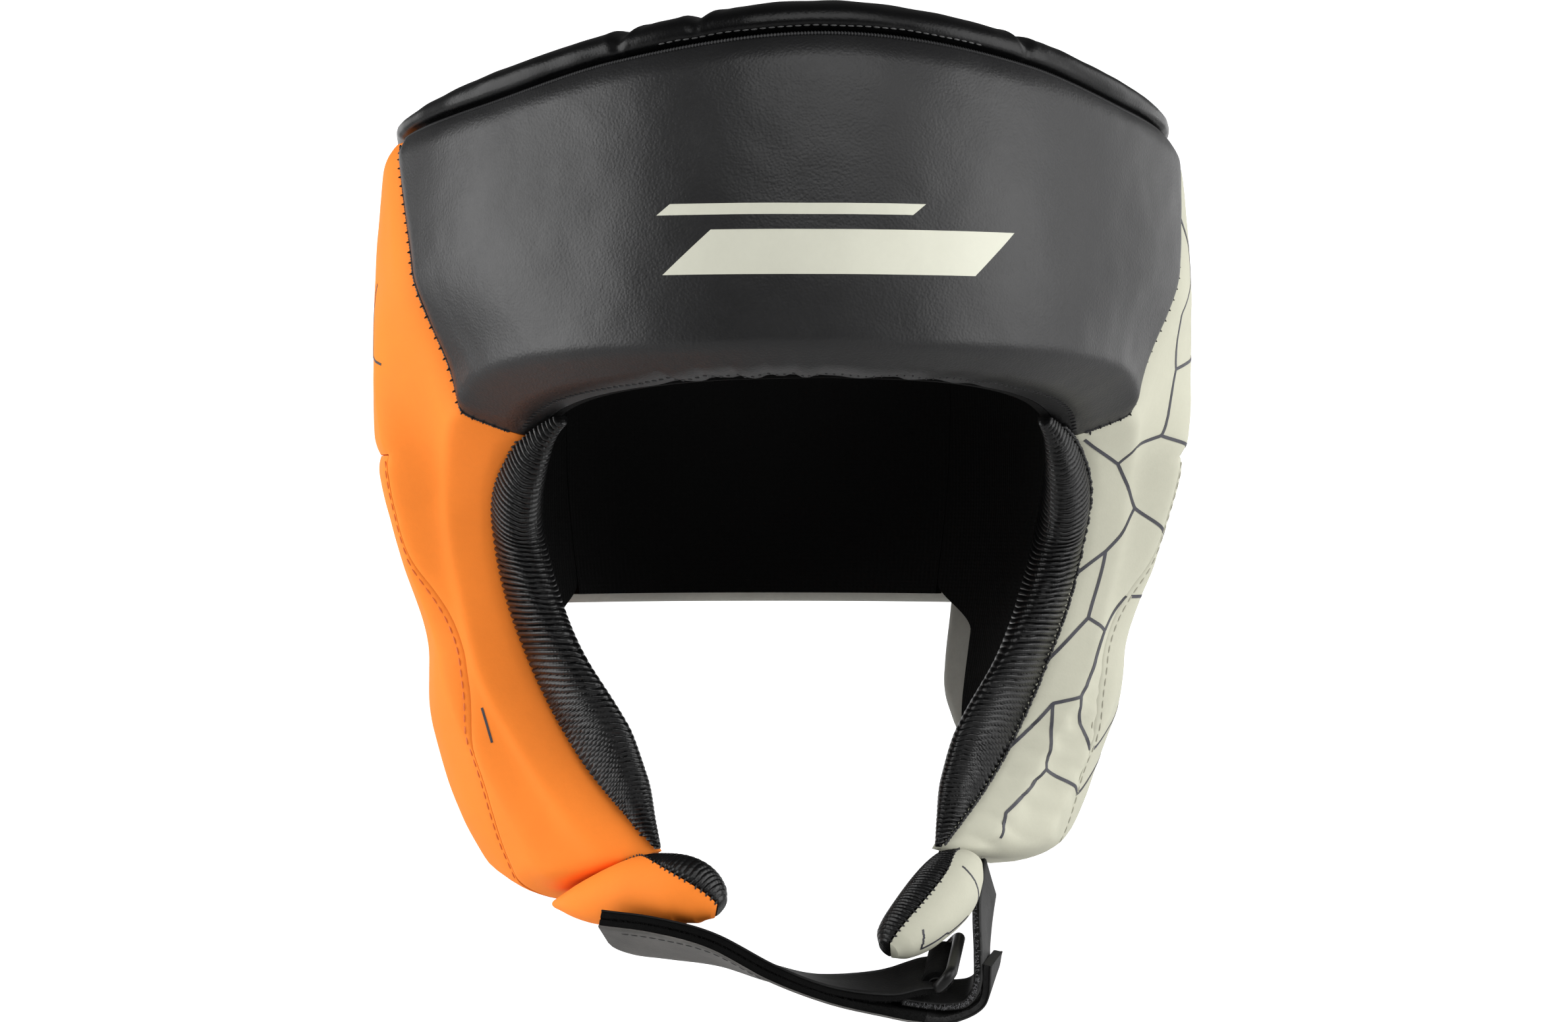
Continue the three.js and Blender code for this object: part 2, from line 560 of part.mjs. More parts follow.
function innerStations() {
  const stations = chinStations(INNER_STRAP_END).map((station) => ({
    ...station,
    point: station.point.clone().addScaledVector(station.face, station.lift),
  }));
  const before = stations[stations.length - 2];
  const last = stations[stations.length - 1];
  const way = last.point.clone().sub(before.point);
  way.addScaledVector(last.across, -way.dot(last.across)).normalize();
  const face = last.across.clone().cross(way).normalize();
  const bar = last.point.clone().addScaledVector(face, STRAP_TURN);
  stations.pop();
  stations.push({ point: last.point, across: last.across, face });
  for (let k = 1; k <= TURN_STEPS; k += 1) {
    const angle = (k * Math.PI) / TURN_STEPS;
    const outward = face.clone().multiplyScalar(-Math.cos(angle)).addScaledVector(way, Math.sin(angle));
    const point = bar.clone().addScaledVector(outward, STRAP_TURN);
    stations.push({ point, across: last.across, face: outward.clone().negate() });
  }
  const end = stations[stations.length - 1];
  stations.push({ ...end, point: end.point.clone().addScaledVector(way, -STRAP_RETURN) });
  return { stations, bar, across: last.across, way, face };
}

// The ring: a round bar bent to a rectangle, from the bar in the strap's fold to the one in the tab's bend.
const RING_TILT = -50;
const RING_SIDES = 6;
const CORNER_STEPS = 3;

function ring({ bar, across, way, face }) {
  const reach = way.clone().multiplyScalar(Math.cos(degToRad(RING_TILT)));
  reach.addScaledVector(face, Math.sin(degToRad(RING_TILT)));
  const normal = across.clone().cross(reach).normalize();
  const halfLong = (RING.inside + RING.bar) / 2;
  const corners = [
    { side: 1, end: 0, start: 180 },
    { side: 1, end: 1, start: 90 },
    { side: -1, end: 1, start: 0 },
    { side: -1, end: 0, start: -90 },
  ];
  const rings = corners.flatMap(({ side, end, start }) =>
    Array.from({ length: CORNER_STEPS + 1 }, (_, k) => {
      const angle = degToRad(start - (90 * k) / CORNER_STEPS);
      const outward = reach.clone().multiplyScalar(Math.cos(angle)).addScaledVector(across, Math.sin(angle));
      const advance = end ? RING.reach - RING.corner : RING.corner;
      const middle = bar.clone().addScaledVector(reach, advance);
      middle.addScaledVector(across, side * (halfLong - RING.corner)).addScaledVector(outward, RING.corner);
      return Array.from({ length: RING_SIDES }, (_, j) => {
        const round = (j * 2 * Math.PI) / RING_SIDES;
        const point = middle.clone().addScaledVector(outward, (RING.bar / 2) * Math.cos(round));
        return point.addScaledVector(normal, (RING.bar / 2) * Math.sin(round));
      });
    }),
  );
  return loft(rings, true);
}

const headgear = new THREE.Group();

function add(name, geometry, finish, mirrored = false) {
  const material = new THREE.MeshStandardMaterial({ metalness: 0, ...COLOURS[finish] });
  const mesh = new THREE.Mesh(geometry, material);
  mesh.name = name;
  mesh.scale.x = mirrored ? -1 : 1;
  headgear.add(mesh);
}

const foreheadColumns = FOREHEAD_COLUMNS.length - 1;
const backColumns = BACK_COLUMNS.length - 1;
const backRows = UPPER + BACK_EDGE_ROW;
const sideRows = UPPER + LOWER;
const sideColumns = CHEEK + EAR;
const isSidePad = (i, j) => i < UPPER || j < CHEEK;
const isEarPad = (i, j) => !isSidePad(i, j);
// The vinyl wraps in over the edges that stand free behind the ear and under the back.
const isSideLining = (i, j) => i < backRows || j < sideColumns - 1;

add("forehead_pad", panel(UPPER, foreheadColumns, foreheadPlace, padFaces), "charcoal");
add("forehead_lining", panel(UPPER, foreheadColumns, foreheadPlace, liningFaces), "lining");
add("back_pad", panel(backRows, backColumns, backPlace, padFaces), "bone");
add("back_lining", panel(backRows - 1, backColumns, backPlace, liningFaces), "lining");
add("crown_roll", crownRoll(), "gloss");

const SIDES = [
  { side: "right", mirrored: true, vinyl: "orange", rows: FLAP_RIGHT, jaw: JAW_RIGHT },
  { side: "left", mirrored: false, vinyl: "bone", rows: FLAP_LEFT, jaw: JAW_LEFT },
];
for (const { side, mirrored, vinyl, rows, jaw } of SIDES) {
  const place = (i, j) => sidePlace(i, j, jaw);
  const faces = (corner, sewn) => padFaces(corner, sewn, jaw.slim);
  add(`side_pad_${side}`, panel(sideRows, sideColumns, place, faces, isSidePad), vinyl, mirrored);
  add(`ear_pad_${side}`, panel(sideRows, sideColumns, place, faces, isEarPad), vinyl, mirrored);
  const lining = panel(sideRows, sideColumns, place, liningFaces, isSideLining);
  add(`side_lining_${side}`, lining, "lining", mirrored);
  add(`face_roll_${side}`, faceRoll(), "ribbed", mirrored);
  add(`chin_flap_${side}`, flap(rows, true), vinyl, mirrored);
  add(`flap_roll_${side}`, flap(rows, false), "ribbed", mirrored);
}

const inner = innerStations();
add("chin_strap", ribbon(chinStations(1), STRAP), "strap");
add("inner_strap", ribbon(inner.stations, STRAP), "strap");
const tabStations = Array.from({ length: TAB_STEPS + 1 }, (_, k) => strapFrame(TAB_ROUTE, k / TAB_STEPS));
add("strap_tab", ribbon(tabStations, TAB), "strap");
add("strap_ring", ring(inner), "plastic");

export default headgear;
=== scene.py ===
import math

import bpy
import numpy as np
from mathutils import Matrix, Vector
from mathutils.bvhtree import BVHTree
from mathutils.kdtree import KDTree


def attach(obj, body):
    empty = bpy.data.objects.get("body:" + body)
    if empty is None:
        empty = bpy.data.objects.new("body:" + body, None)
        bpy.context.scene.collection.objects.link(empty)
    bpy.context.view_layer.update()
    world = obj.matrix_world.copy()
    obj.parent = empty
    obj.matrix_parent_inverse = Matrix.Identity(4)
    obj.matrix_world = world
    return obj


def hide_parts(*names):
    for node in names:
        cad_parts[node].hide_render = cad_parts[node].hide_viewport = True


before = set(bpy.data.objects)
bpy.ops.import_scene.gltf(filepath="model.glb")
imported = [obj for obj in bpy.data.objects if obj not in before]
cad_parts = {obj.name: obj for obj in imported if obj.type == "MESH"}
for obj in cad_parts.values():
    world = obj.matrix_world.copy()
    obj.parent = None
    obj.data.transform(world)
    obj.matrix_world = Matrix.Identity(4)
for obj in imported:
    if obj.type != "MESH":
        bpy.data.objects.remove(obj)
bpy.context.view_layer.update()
MM = 0.001
CAMERA_PLACE, CAMERA_YAW, LENS, SENSOR = (-0.1698, -1.4904, -0.036), -6.5, 118.9, 36


def added(name, data):
    made = bpy.data.objects.new(name, data)
    bpy.context.scene.collection.objects.link(made)
    return made


# The camera comes first: level with the brow, a little to the wearer's right.
camera_data = bpy.data.cameras.new("camera")
camera_data.lens, camera_data.sensor_width, camera_data.sensor_fit = LENS, SENSOR, "HORIZONTAL"
camera = added("camera", camera_data)
camera.location = CAMERA_PLACE
camera.rotation_euler = (math.radians(90), 0, math.radians(CAMERA_YAW))
bpy.context.scene.camera = camera
bpy.context.scene.view_settings.view_transform = "Standard"


def table(names, *rows):
    return dict(zip(names.split(), np.array(rows, float).T))


# The measurements of the solids, in millimetres and degrees round the head from the middle of the brow.
GAP = 0.3
LINING = 3
FOREHEAD_PAD, BACK_PAD = 27, 24
FOREHEAD_PAD_ENDS, SIDE_PAD_BEGINS, SIDE_PAD_ENDS, BACK_PAD_BEGINS = 36, 90, 108, 142
EAR_LINE_RIM, BACK_SEAM, MIDDLE_OF_BACK = 98, 132, 180
EAR_SEAM_Z, BACK_EDGE_Z, BACK_EDGE_AT = -20, -64, 0.4
STRAP_WIDTH, STRAP_THICK, TAB_WIDTH, TAB_THICK = 24, 2.2, 19, 2
RING_BAR, RING_REACH, RING_INSIDE, RING_CORNER, RING_TILT = 3.4, 6.5, 26.2, 2.6, -50
STRAP_RETURN = 2

HOLLOW = table(
    "z half centre front back",
    (120, 68, 3, 80, 84), (70, 75, 0, 92, 94), (10, 78, 0, 97, 98), (-35, 77, 8, 94, 90),
    (-80, 69, 18, 76, 76), (-105, 62, 24, 74, 66), (-130, 54, 28, 80, 56), (-165, 44, 30, 86, 44),
)
SIDE_PAD = table(
    "z pad",
    (100, 38), (60, 40), (0, 40.5), (-20, 39.5), (-50, 35), (-75, 32), (-100, 38), (-125, 39), (-148, 32),
)
RIM = table(
    "turn z roll",
    (-35, 85, 10), (0, 92, 9.5), (35, 85, 10), (60, 75.5, 10.5), (84, 69.5, 8), (110, 65, 8), (138, 62, 8),
    (180, 61, 8),
)
OPENING_ROWS = (
    (0, 0, 15, 8.5, 26.5, 20), (25, -1, 15, 8.5, 26.5, 20), (45, -4, 14, 10, 26.5, 26),
    (58, -8.5, 12, 10.5, 26, 34), (66, -15, 10, 9, 25, 38), (73, -28, 11, 8, 24, 13),
    (76, -42, 11, 6, 24, 8), (74, -62, 11, 6, 24, 8), (68, -84, 10, 6, 25, 8),
    (58, -106, 10, 7, 25, 9), (48, -122, 9, 9, 22, 14), (42, -132, 8, 9, 18, 18),
)
OPENING_COLUMNS = "turn z wall bevel ridge shoulder"
BROW = table(OPENING_COLUMNS, *OPENING_ROWS[:5])
OPENING = table(OPENING_COLUMNS, *OPENING_ROWS)
OPENING = {"z": OPENING["z"], **OPENING}
BROW_TIP_TURN, BROW_TIP_Z, CHIN_END_Z = 66, -15, -132
FOREHEAD_SEAM = table("at turn", (0, 84), (0.4, 75), (0.78, 72), (0.92, 70.5), (1, BROW_TIP_TURN))
STITCH_LINE = table(
    "at turn z",
    (0, 84, EAR_SEAM_Z), (0.25, 84, -48), (0.5, 76.5, -78), (0.7, 71.5, -104), (0.85, 71, -124), (1, 75, -149),
)
REAR_EDGE = table(
    "at turn z",
    (0, BACK_SEAM, EAR_SEAM_Z), (BACK_EDGE_AT, BACK_SEAM, BACK_EDGE_Z), (0.7, 128, -97), (0.9, 112, -130),
    (1, 93, -149),
)
JAWS = {"right": (0, 5, 2.5), "left": (10, 20, 4.5)}
JAW_BEGINS, JAW_SLIM_FROM, JAW_SLIM_TO = 0.6, -80, -115
CROWN_INSET, CROWN_ACROSS, CROWN_UP = 2.5, 0.7, 0.8
CROWN_FOLDS = ((-34, 0.16), (-21, 0.12), (35, 0.16))
CROWN_FOLD_SPREAD, CROWN_FOLD_IN = 2.6, 0.3
FACE_ROLL_START, ROLL_CLEAR, ROLL_SQUARENESS, ROLL_CROWDING = 36, 1.1, 0.8, 1.6
FACE_ROLL = table(
    "at bulge outer inner",
    (0, 0.5, -12.5, 0), (0.1, 1.4, -11, 0), (0.16, 3.4, -7, 0), (0.24, 8, -1.5, 1), (0.37, 13, 1, 2), (0.5, 15, 1, 3),
    (0.68, 17.5, 1, 3), (0.86, 16.5, 1, 3), (0.93, 10.5, 1, 1), (0.97, 4.5, 0, -2), (1, 1.5, -1, -5),
)
FLAPS = {
    "right": table(
        "at turn z offset tall thick seam",
        (0, 68, -148.6, 16, 2.4, 7, 0), (0.2, 55, -146.4, 15, 7, 10, 0), (0.5, 43, -142.6, 12.5, 9.4, 9.5, 4),
        (0.62, 37.4, -142, 11.3, 10, 8.7, 30), (0.8, 30.5, -142.4, 10, 9.5, 8, 56), (0.94, 25.5, -145, 9, 6.8, 6, 58),
        (1, 23, -146.8, 9, 3.2, 3, 54),
    ),
    "left": table(
        "at turn z offset tall thick seam",
        (0, 47, -135.7, 11, 5, 5.4, 4), (0.16, 44.2, -138.8, 11, 8.4, 7.6, 14), (0.45, 39, -144.4, 11, 9.9, 9, 27),
        (0.78, 30.5, -152, 10, 8.5, 8, 33), (0.93, 25, -156.5, 9, 6, 6, 36), (1, 22.5, -158.5, 9, 3, 3, 36),
    ),
}
FLAP_UNDERSIDE = 200
CHIN_ROUTE = table(
    "x y z slew rise lift",
    (-54.5, -41, -155.5, -0.31, 0.45, 3), (-40, -46, -157, -0.31, 0.42, 3), (-25, -50, -160, -0.25, 0.3, 3),
    (-10, -52, -166.5, -0.13, 0.1, 3), (4.6, -52.5, -171, 0, -0.05, 3), (21.4, -51, -173.5, 0, -0.2, 4.8),
    (32, -48, -174.5, -0.15, -0.3, 8.8), (42.5, -44, -175.5, -0.25, -0.3, 11.4),
    (52.9, -41.5, -171.2, -0.27, -0.3, 8), (55, -41, -162.5, -0.3, -0.1, 3),
)
INNER_STRAP_END = 0.76
TAB_ROUTE = table(
    "x y z slew rise",
    (57.5, -12, -141.7, -0.4, 0.9), (54.5, -23, -150, -0.4, 0.9), (52.6, -33, -156.5, -0.35, 0.7),
    (51.6, -41, -162, -0.3, 0.2), (50.6, -45.5, -166.6, -0.28, -0.25), (47.6, -47, -170.8, -0.27, -0.3),
    (43, -47.5, -172, -0.25, -0.3), (35, -48.5, -171.5, -0.15, -0.3), (26.5, -51, -170.5, 0, -0.25),
)


# Curves and surfaces.
def lerp(a, b, t):
    return a + (b - a) * t


def smooth(x, low, high):
    t = np.clip((x - low) / (high - low), 0, 1)
    return t * t * (3 - 2 * t)


def bell(x, width):
    return np.exp(-((x / width) ** 2))


def around(count):
    return np.linspace(0, 2 * np.pi, count, endpoint=False)


def unit(v):
    return v / np.maximum(np.linalg.norm(v, axis=-1, keepdims=True), 1e-12)


def along(rows, at, column):
    """A column's smooth course, at places in the table's first column."""
    k, c = next(iter(rows.values())), rows[column]
    if k[-1] < k[0]:
        k, c = k[::-1], c[::-1]
    slope = np.empty_like(c)
    slope[1:-1] = (c[2:] - c[:-2]) / (k[2:] - k[:-2])
    slope[0] = (c[1] - c[0]) / (k[1] - k[0])
    slope[-1] = (c[-1] - c[-2]) / (k[-1] - k[-2])
    at = np.clip(at, k[0], k[-1])
    i = np.clip(np.searchsorted(k, at, side="left") - 1, 0, len(k) - 2)
    span = k[i + 1] - k[i]
    t = (at - k[i]) / span
    rest = 1 - t
    level = c[i] * (1 + 2 * t) * rest**2 + c[i + 1] * t * t * (3 - 2 * t)
    return level + span * t * rest * (slope[i] * rest - slope[i + 1] * t)


def hollow(turn, z):
    turn, z = np.broadcast_arrays(np.asarray(turn, float), np.asarray(z, float))
    a = np.radians(turn)
    reach = np.where(np.cos(a) > 0, along(HOLLOW, z, "front"), along(HOLLOW, z, "back"))
    half = along(HOLLOW, z, "half")
    point = np.stack([half * np.sin(a), along(HOLLOW, z, "centre") - reach * np.cos(a), z], -1)
    return point, unit(np.stack([reach * np.sin(a), -half * np.cos(a), 0 * z], -1))


def shell(turn, z, offset):
    point, out = hollow(turn, z)
    return point + out * np.asarray(offset, float)[..., None]


def rim(turn, column="z"):
    return along(RIM, np.abs(turn), column)


def brow(turn, column="z"):
    return along(BROW, np.abs(turn), column)


def full_pad(turn, z):
    turn = np.abs(turn)
    front = lerp(FOREHEAD_PAD, along(SIDE_PAD, z, "pad"), smooth(turn, FOREHEAD_PAD_ENDS, SIDE_PAD_BEGINS))
    return lerp(front, BACK_PAD, smooth(turn, SIDE_PAD_ENDS, BACK_PAD_BEGINS))


RANDOM = np.random.default_rng(11)
SHUFFLE = RANDOM.permutation(256)
SLOPES = unit(RANDOM.normal(size=(256, 3)))


def noise(p):
    cell = np.floor(p).astype(int)
    f = p - cell
    w = f**3 * (f * (f * 6 - 15) + 10)
    total = 0
    for corner in np.ndindex(2, 2, 2):
        q = cell + corner
        h = SHUFFLE[(SHUFFLE[(SHUFFLE[q[..., 0] & 255] + q[..., 1]) & 255] + q[..., 2]) & 255]
        share = np.prod(np.where(np.array(corner) == 1, w, 1 - w), axis=-1)
        total = total + share * np.sum(SLOPES[h] * (f - corner), axis=-1)
    return total


def nearest(points, targets):
    """Distance from every point to the nearest target, and that target's number."""
    tree = KDTree(len(targets))
    for k, target in enumerate(targets):
        tree.insert(target, k)
    tree.balance()
    found = [tree.find(p)[1:] for p in points.reshape(-1, 3)]
    index = np.array([f[0] for f in found]).reshape(points.shape[:-1])
    return np.array([f[1] for f in found]).reshape(points.shape[:-1]), index


# The face opening's edge, and the pads' outer face that thins towards it with a soft crease.
EDGE_STEPS, CREASE = 1600, 2.6
edge_rows = np.linspace(0, len(OPENING_ROWS) - 1, EDGE_STEPS)
EDGE_Z = np.interp(edge_rows, np.arange(len(OPENING_ROWS)), OPENING["z"])
EDGE = {name: along(OPENING, EDGE_Z, name) for name in ("turn", "wall", "bevel", "ridge", "shoulder")}
EDGE_POINTS = hollow(EDGE["turn"], EDGE_Z)[0]


def outer_face(turn, z, slim=0):
    """How far out the pads reach, slimmer at the jaw, and the distance from the opening's edge."""
    d, k = nearest(hollow(np.abs(turn), z)[0], EDGE_POINTS)
    wall, bevel, ridge, shoulder = (EDGE[name][k] for name in ("wall", "bevel", "ridge", "shoulder"))
    slope = wall + (ridge - wall) * d / bevel
    face = lerp(ridge, full_pad(turn, z), smooth(d - bevel, 0, shoulder))
    h = np.clip(0.5 + 0.5 * (face - slope) / CREASE, 0, 1)
    return lerp(face, slope, h) - CREASE * h * (1 - h) - slim * smooth(-z, -JAW_SLIM_FROM, -JAW_SLIM_TO), d


def forehead_place(down, across):
    turn = across * along(FOREHEAD_SEAM, down, "turn")
    return turn, lerp(rim(turn), brow(turn), down)


def side_place(down, across, jaw):
    stitch_lift, rear_lift, _ = jaw
    upper, lower = np.clip(down, 0, 1), np.clip(down - 1, 0, 1)
    cheek, ear = np.clip(across, 0, 1), np.clip(across - 1, 0, 1)

    def span(front, middle, rear):
        return np.where(across <= 1, lerp(front, middle, cheek), lerp(middle, rear, ear))

    seam = along(FOREHEAD_SEAM, upper, "turn")
    turn_high = span(seam, lerp(EAR_LINE_RIM, STITCH_LINE["turn"][0], upper), BACK_SEAM)
    z_high = lerp(rim(turn_high), lerp(BROW_TIP_Z, EAR_SEAM_Z, cheek), upper)
    lift = smooth(lower, JAW_BEGINS, 1)
    edge_z = lerp(BROW_TIP_Z, CHIN_END_Z, lower)
    edge_turn = along(OPENING, edge_z, "turn")
    turn_low = span(edge_turn, along(STITCH_LINE, lower, "turn"), along(REAR_EDGE, lower, "turn"))
    stitch_z = along(STITCH_LINE, lower, "z") + stitch_lift * lift
    z_low = span(edge_z, stitch_z, along(REAR_EDGE, lower, "z") + rear_lift * lift)
    return np.where(down <= 1, turn_high, turn_low), np.where(down <= 1, z_high, z_low)


def back_place(down, across):
    lower = np.clip(down - 1, 0, 1)
    seam = np.where(down <= 1, BACK_SEAM, along(REAR_EDGE, lower, "turn"))
    turn = lerp(seam, 2 * MIDDLE_OF_BACK - seam, across)
    top = rim(MIDDLE_OF_BACK - np.abs(turn - MIDDLE_OF_BACK))
    z = np.where(down <= 1, lerp(top, EAR_SEAM_Z, np.clip(down, 0, 1)), along(REAR_EDGE, lower, "z"))
    return turn, z


# Procedural materials. The clouds' colour has a share of fine noise in it.
FINE_SHARE, FINE_BUMP, ROUGH_SWING, BUMP_STRENGTH = 0.35, 0.6, 0.07, 0.6
RAMP, ROUGH_RAMP = (0.45, 0.9), (0.4, 0.95)
WEAVE_SCALE, WEAVE_DISTORTION = 0.16, 0.6


def new_material(name):
    """A material, its shader's inputs, what sets or links an input, and what adds a node. A node's inputs are
    given in order or by name, and its settings by name."""
    mat = bpy.data.materials.new(name)
    mat.use_nodes = True
    tree = mat.node_tree

    def put(socket, value):
        if isinstance(value, bpy.types.NodeSocket):
            tree.links.new(value, socket)
        else:
            socket.default_value = value

    def node(kind, *inputs, **values):
        made = tree.nodes.new("ShaderNode" + kind)
        for key, value in values.items():
            socket = key.replace("_", " ")
            if socket in made.inputs:
                put(made.inputs[socket], value)
            else:
                setattr(made, key, value)
        for socket, value in zip(made.inputs, inputs):
            put(socket, value)
        return made

    return mat, tree.nodes["Principled BSDF"].inputs, put, node


def material(name, colour, rough, spread=0.15, patch=25, grain=0.0007, depth=0.00006, kind="leather", shine=0.5):
    """colour and rough are the middle values, spread how much the colour varies over patches a few centimetres
    wide, grain and depth the size of the relief, and kind what it is like."""
    mat, shader, put, node = new_material(name)
    place = node("TexCoord").outputs["Object"]
    cloud = node("TexNoise", place, Scale=patch, Detail=5, Roughness=0.6).outputs["Fac"]
    fine = node("TexNoise", place, Scale=1 / (grain * 3), Detail=3, Roughness=0.7).outputs["Fac"]
    both = node("Math", fine, FINE_SHARE, cloud, operation="MULTIPLY_ADD").outputs[0]
    ramp = node("ValToRGB", both)
    dark, light = ramp.color_ramp.elements
    dark.position, light.position = RAMP
    dark.color = [c * (1 - spread) for c in colour] + [1]
    light.color = [min(c * (1 + spread), 1) for c in colour] + [1]
    low, high = ROUGH_RAMP
    roughness = node(
        "MapRange", both, From_Min=low, From_Max=high, To_Min=rough - ROUGH_SWING, To_Max=rough + ROUGH_SWING
    )
    relief = fine
    if kind == "leather":
        cells = node("TexVoronoi", place, Scale=1 / grain, feature="SMOOTH_F1").outputs["Distance"]
        relief = node("Math", fine, FINE_BUMP, cells, operation="MULTIPLY_ADD").outputs[0]
    elif kind == "weave":
        weave = {"Scale": WEAVE_SCALE / grain, "Distortion": WEAVE_DISTORTION}
        x, y, z = (node("TexWave", place, bands_direction=axis, **weave).outputs["Fac"] for axis in "XYZ")
        crossed = node("Math", x, z, operation="MULTIPLY").outputs[0]
        relief = node("Math", crossed, y, operation="ADD").outputs[0]
    bump = node("Bump", Strength=BUMP_STRENGTH, Distance=depth, Height=relief)
    put(shader["Base Color"], ramp.outputs["Color"])
    put(shader["Roughness"], roughness.outputs["Result"])
    put(shader["Normal"], bump.outputs["Normal"])
    put(shader["Specular IOR Level"], shine)
    return mat


def thread(name, colour, rough=0.6):
    return material(name, colour, rough, grain=0.0002, kind="fine", depth=0.0001)


CHARCOAL = material("charcoal_vinyl", (0.0075, 0.0075, 0.008), 0.44, depth=0.00012, shine=0.4)
ORANGE = material("orange_vinyl", (0.95, 0.245, 0.03), 0.7, 0.04, depth=0.00003, shine=0.14)
BONE = material("bone_vinyl", (0.48, 0.475, 0.385), 0.7, 0.05, depth=0.00003, shine=0.14)
# A darker copy of the bone vinyl: painted shade on the inner face near the back and ear pads' free edges.
SHADED_BONE = material("bone_vinyl_painted_shade", (0.3, 0.3, 0.27), 0.6, depth=0.00004, shine=0.2)
GLOSS = material("gloss_vinyl", (0.002, 0.002, 0.0022), 0.32, 0.2, depth=0.00007, shine=0.2)
BLACK = material("black_lining", (0.0025, 0.0025, 0.0025), 0.9, grain=0.0006, depth=0.0001, kind="weave", shine=0.12)
RIBBED = material(
    "ribbed_lining", (0.002, 0.002, 0.0022), 0.36, 0.3, grain=0.0004, depth=0.00004, kind="weave", shine=0.34
)
STRAP = material("strap_vinyl", (0.10, 0.096, 0.09), 0.55, 0.3, patch=90, depth=0.0001, shine=0.3)
# Dark vinyl: the inner strap's own colour, and painted shade on the chin strap's end near the ring.
DARK_STRAP_AND_SHADE = material("dark_strap_and_shade", (0.006, 0.006, 0.006), 0.6, 0.5, patch=90, depth=0.0001, shine=0.2)
TAB = material("tab_vinyl", (0.034, 0.034, 0.036), 0.6, 0.5, patch=120, depth=0.00012, shine=0.2)
FUZZ = material("hook_and_loop", (0.003, 0.003, 0.003), 0.9, 0.5, grain=0.0005, depth=0.0004, kind="fine", shine=0.1)
PLASTIC = material("black_plastic", (0.004, 0.004, 0.004), 0.35, grain=0.0004, depth=0.00003, kind="fine", shine=0.25)
THREAD = thread("black_thread", (0.008, 0.008, 0.009))
GREY_THREAD = thread("grey_thread", (0.05, 0.05, 0.05), 0.5)
ORANGE_THREAD = thread("orange_thread", (0.72, 0.15, 0.018))
BONE_THREAD = thread("bone_thread", (0.36, 0.35, 0.28))
FUZZ_FIBRE = material("fuzz_fibre", (0.006, 0.006, 0.006), 0.8, kind="fine", shine=0.15)
FRAY = material("frayed_fibre", (0.12, 0.12, 0.125), 0.7, kind="fine", shine=0.2)
PRINT = material("dark_print", (0.03, 0.03, 0.04), 0.5, 0.4, patch=160, depth=0.00002, kind="fine")
PALE_PRINT = material("pale_print", (0.6, 0.6, 0.5), 0.55, 0.04, depth=0.00002, kind="fine")
# Each side's vinyl, thread, slot and mirror image.
SIDES = (
    ("right", ORANGE, ORANGE_THREAD, "orange_vinyl", (-1, 1, 1)),
    ("left", BONE, BONE_THREAD, "bone_vinyl", (1, 1, 1)),
)


# Meshes. The covers' search trees and the pads' outer faces are kept for what is laid on them.
TREES = {}
OUTER_FACES = {}
SHARP, RIB_SHARP, STRAP_SHARP = 55, 75, 60


def make(name, points, faces, mats, nodes=(), mirrored=False, mat_index=None, sharp=SHARP):
    points = np.array(points, float)
    if mirrored:
        points[:, 0] *= -1
    used = np.unique(np.concatenate([np.asarray(f) for f in faces]))
    renumber = np.full(len(points), -1)
    renumber[used] = np.arange(len(used))
    points = points[used]
    faces = [tuple(int(renumber[k]) for k in f) for f in faces]
    if mirrored:
        faces = [f[::-1] for f in faces]
    mesh = bpy.data.meshes.new(name)
    mesh.from_pydata((points * MM).tolist(), [], faces)
    for mat in mats:
        mesh.materials.append(mat)
    if mat_index is not None:
        mesh.polygons.foreach_set("material_index", np.asarray(mat_index, dtype=np.int32))
    mesh.shade_smooth()
    mesh.set_sharp_from_angle(angle=math.radians(sharp))
    mesh.update()
    piece = added(name, mesh)
    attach(piece, "root")
    if nodes:
        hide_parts(*nodes)
        TREES[name] = BVHTree.FromPolygons([Vector(p) for p in points], faces)


def facing_out(points, faces):
    corners = np.array([(f[0], f[k], f[k + 1]) for f in faces for k in range(1, len(f) - 1)])
    a, b, c = points[corners[:, 0]], points[corners[:, 1]], points[corners[:, 2]]
    return faces if np.sum(a * np.cross(b, c)) > 0 else [f[::-1] for f in faces]


def spread(count, crowding=0.6):
    t = np.linspace(0, 1, count + 1)
    return t - crowding * np.sin(2 * np.pi * t) / (2 * np.pi)


def whole(turn):
    """All the cells of a grid, which is given by its corners."""
    return np.ones((turn.shape[0] - 1, turn.shape[1] - 1), bool)


def panel_faces(keep, joined):
    """Faces of a closed panel over a grid: outer face, inner face, and walls where the border isn't joined."""
    rows, columns = keep.shape
    index = np.arange((rows + 1) * (columns + 1)).reshape(rows + 1, columns + 1)
    low = np.where(joined, index, index + index.size)
    faces = []
    for i, j in np.argwhere(keep):
        a, b, c, d = (i, j), (i + 1, j), (i + 1, j + 1), (i, j + 1)
        faces.append([index[a], index[b], index[c], index[d]])
        faces.append([low[d], low[c], low[b], low[a]])
        for p, q, near in ((d, a, (i - 1, j)), (b, c, (i + 1, j)), (a, b, (i, j - 1)), (c, d, (i, j + 1))):
            if 0 <= near[0] < rows and 0 <= near[1] < columns and keep[near]:
                continue
            wall = list(dict.fromkeys([index[q], index[p], low[p], low[q]]))
            if len(wall) > 2:
                faces.append(wall)
    return faces


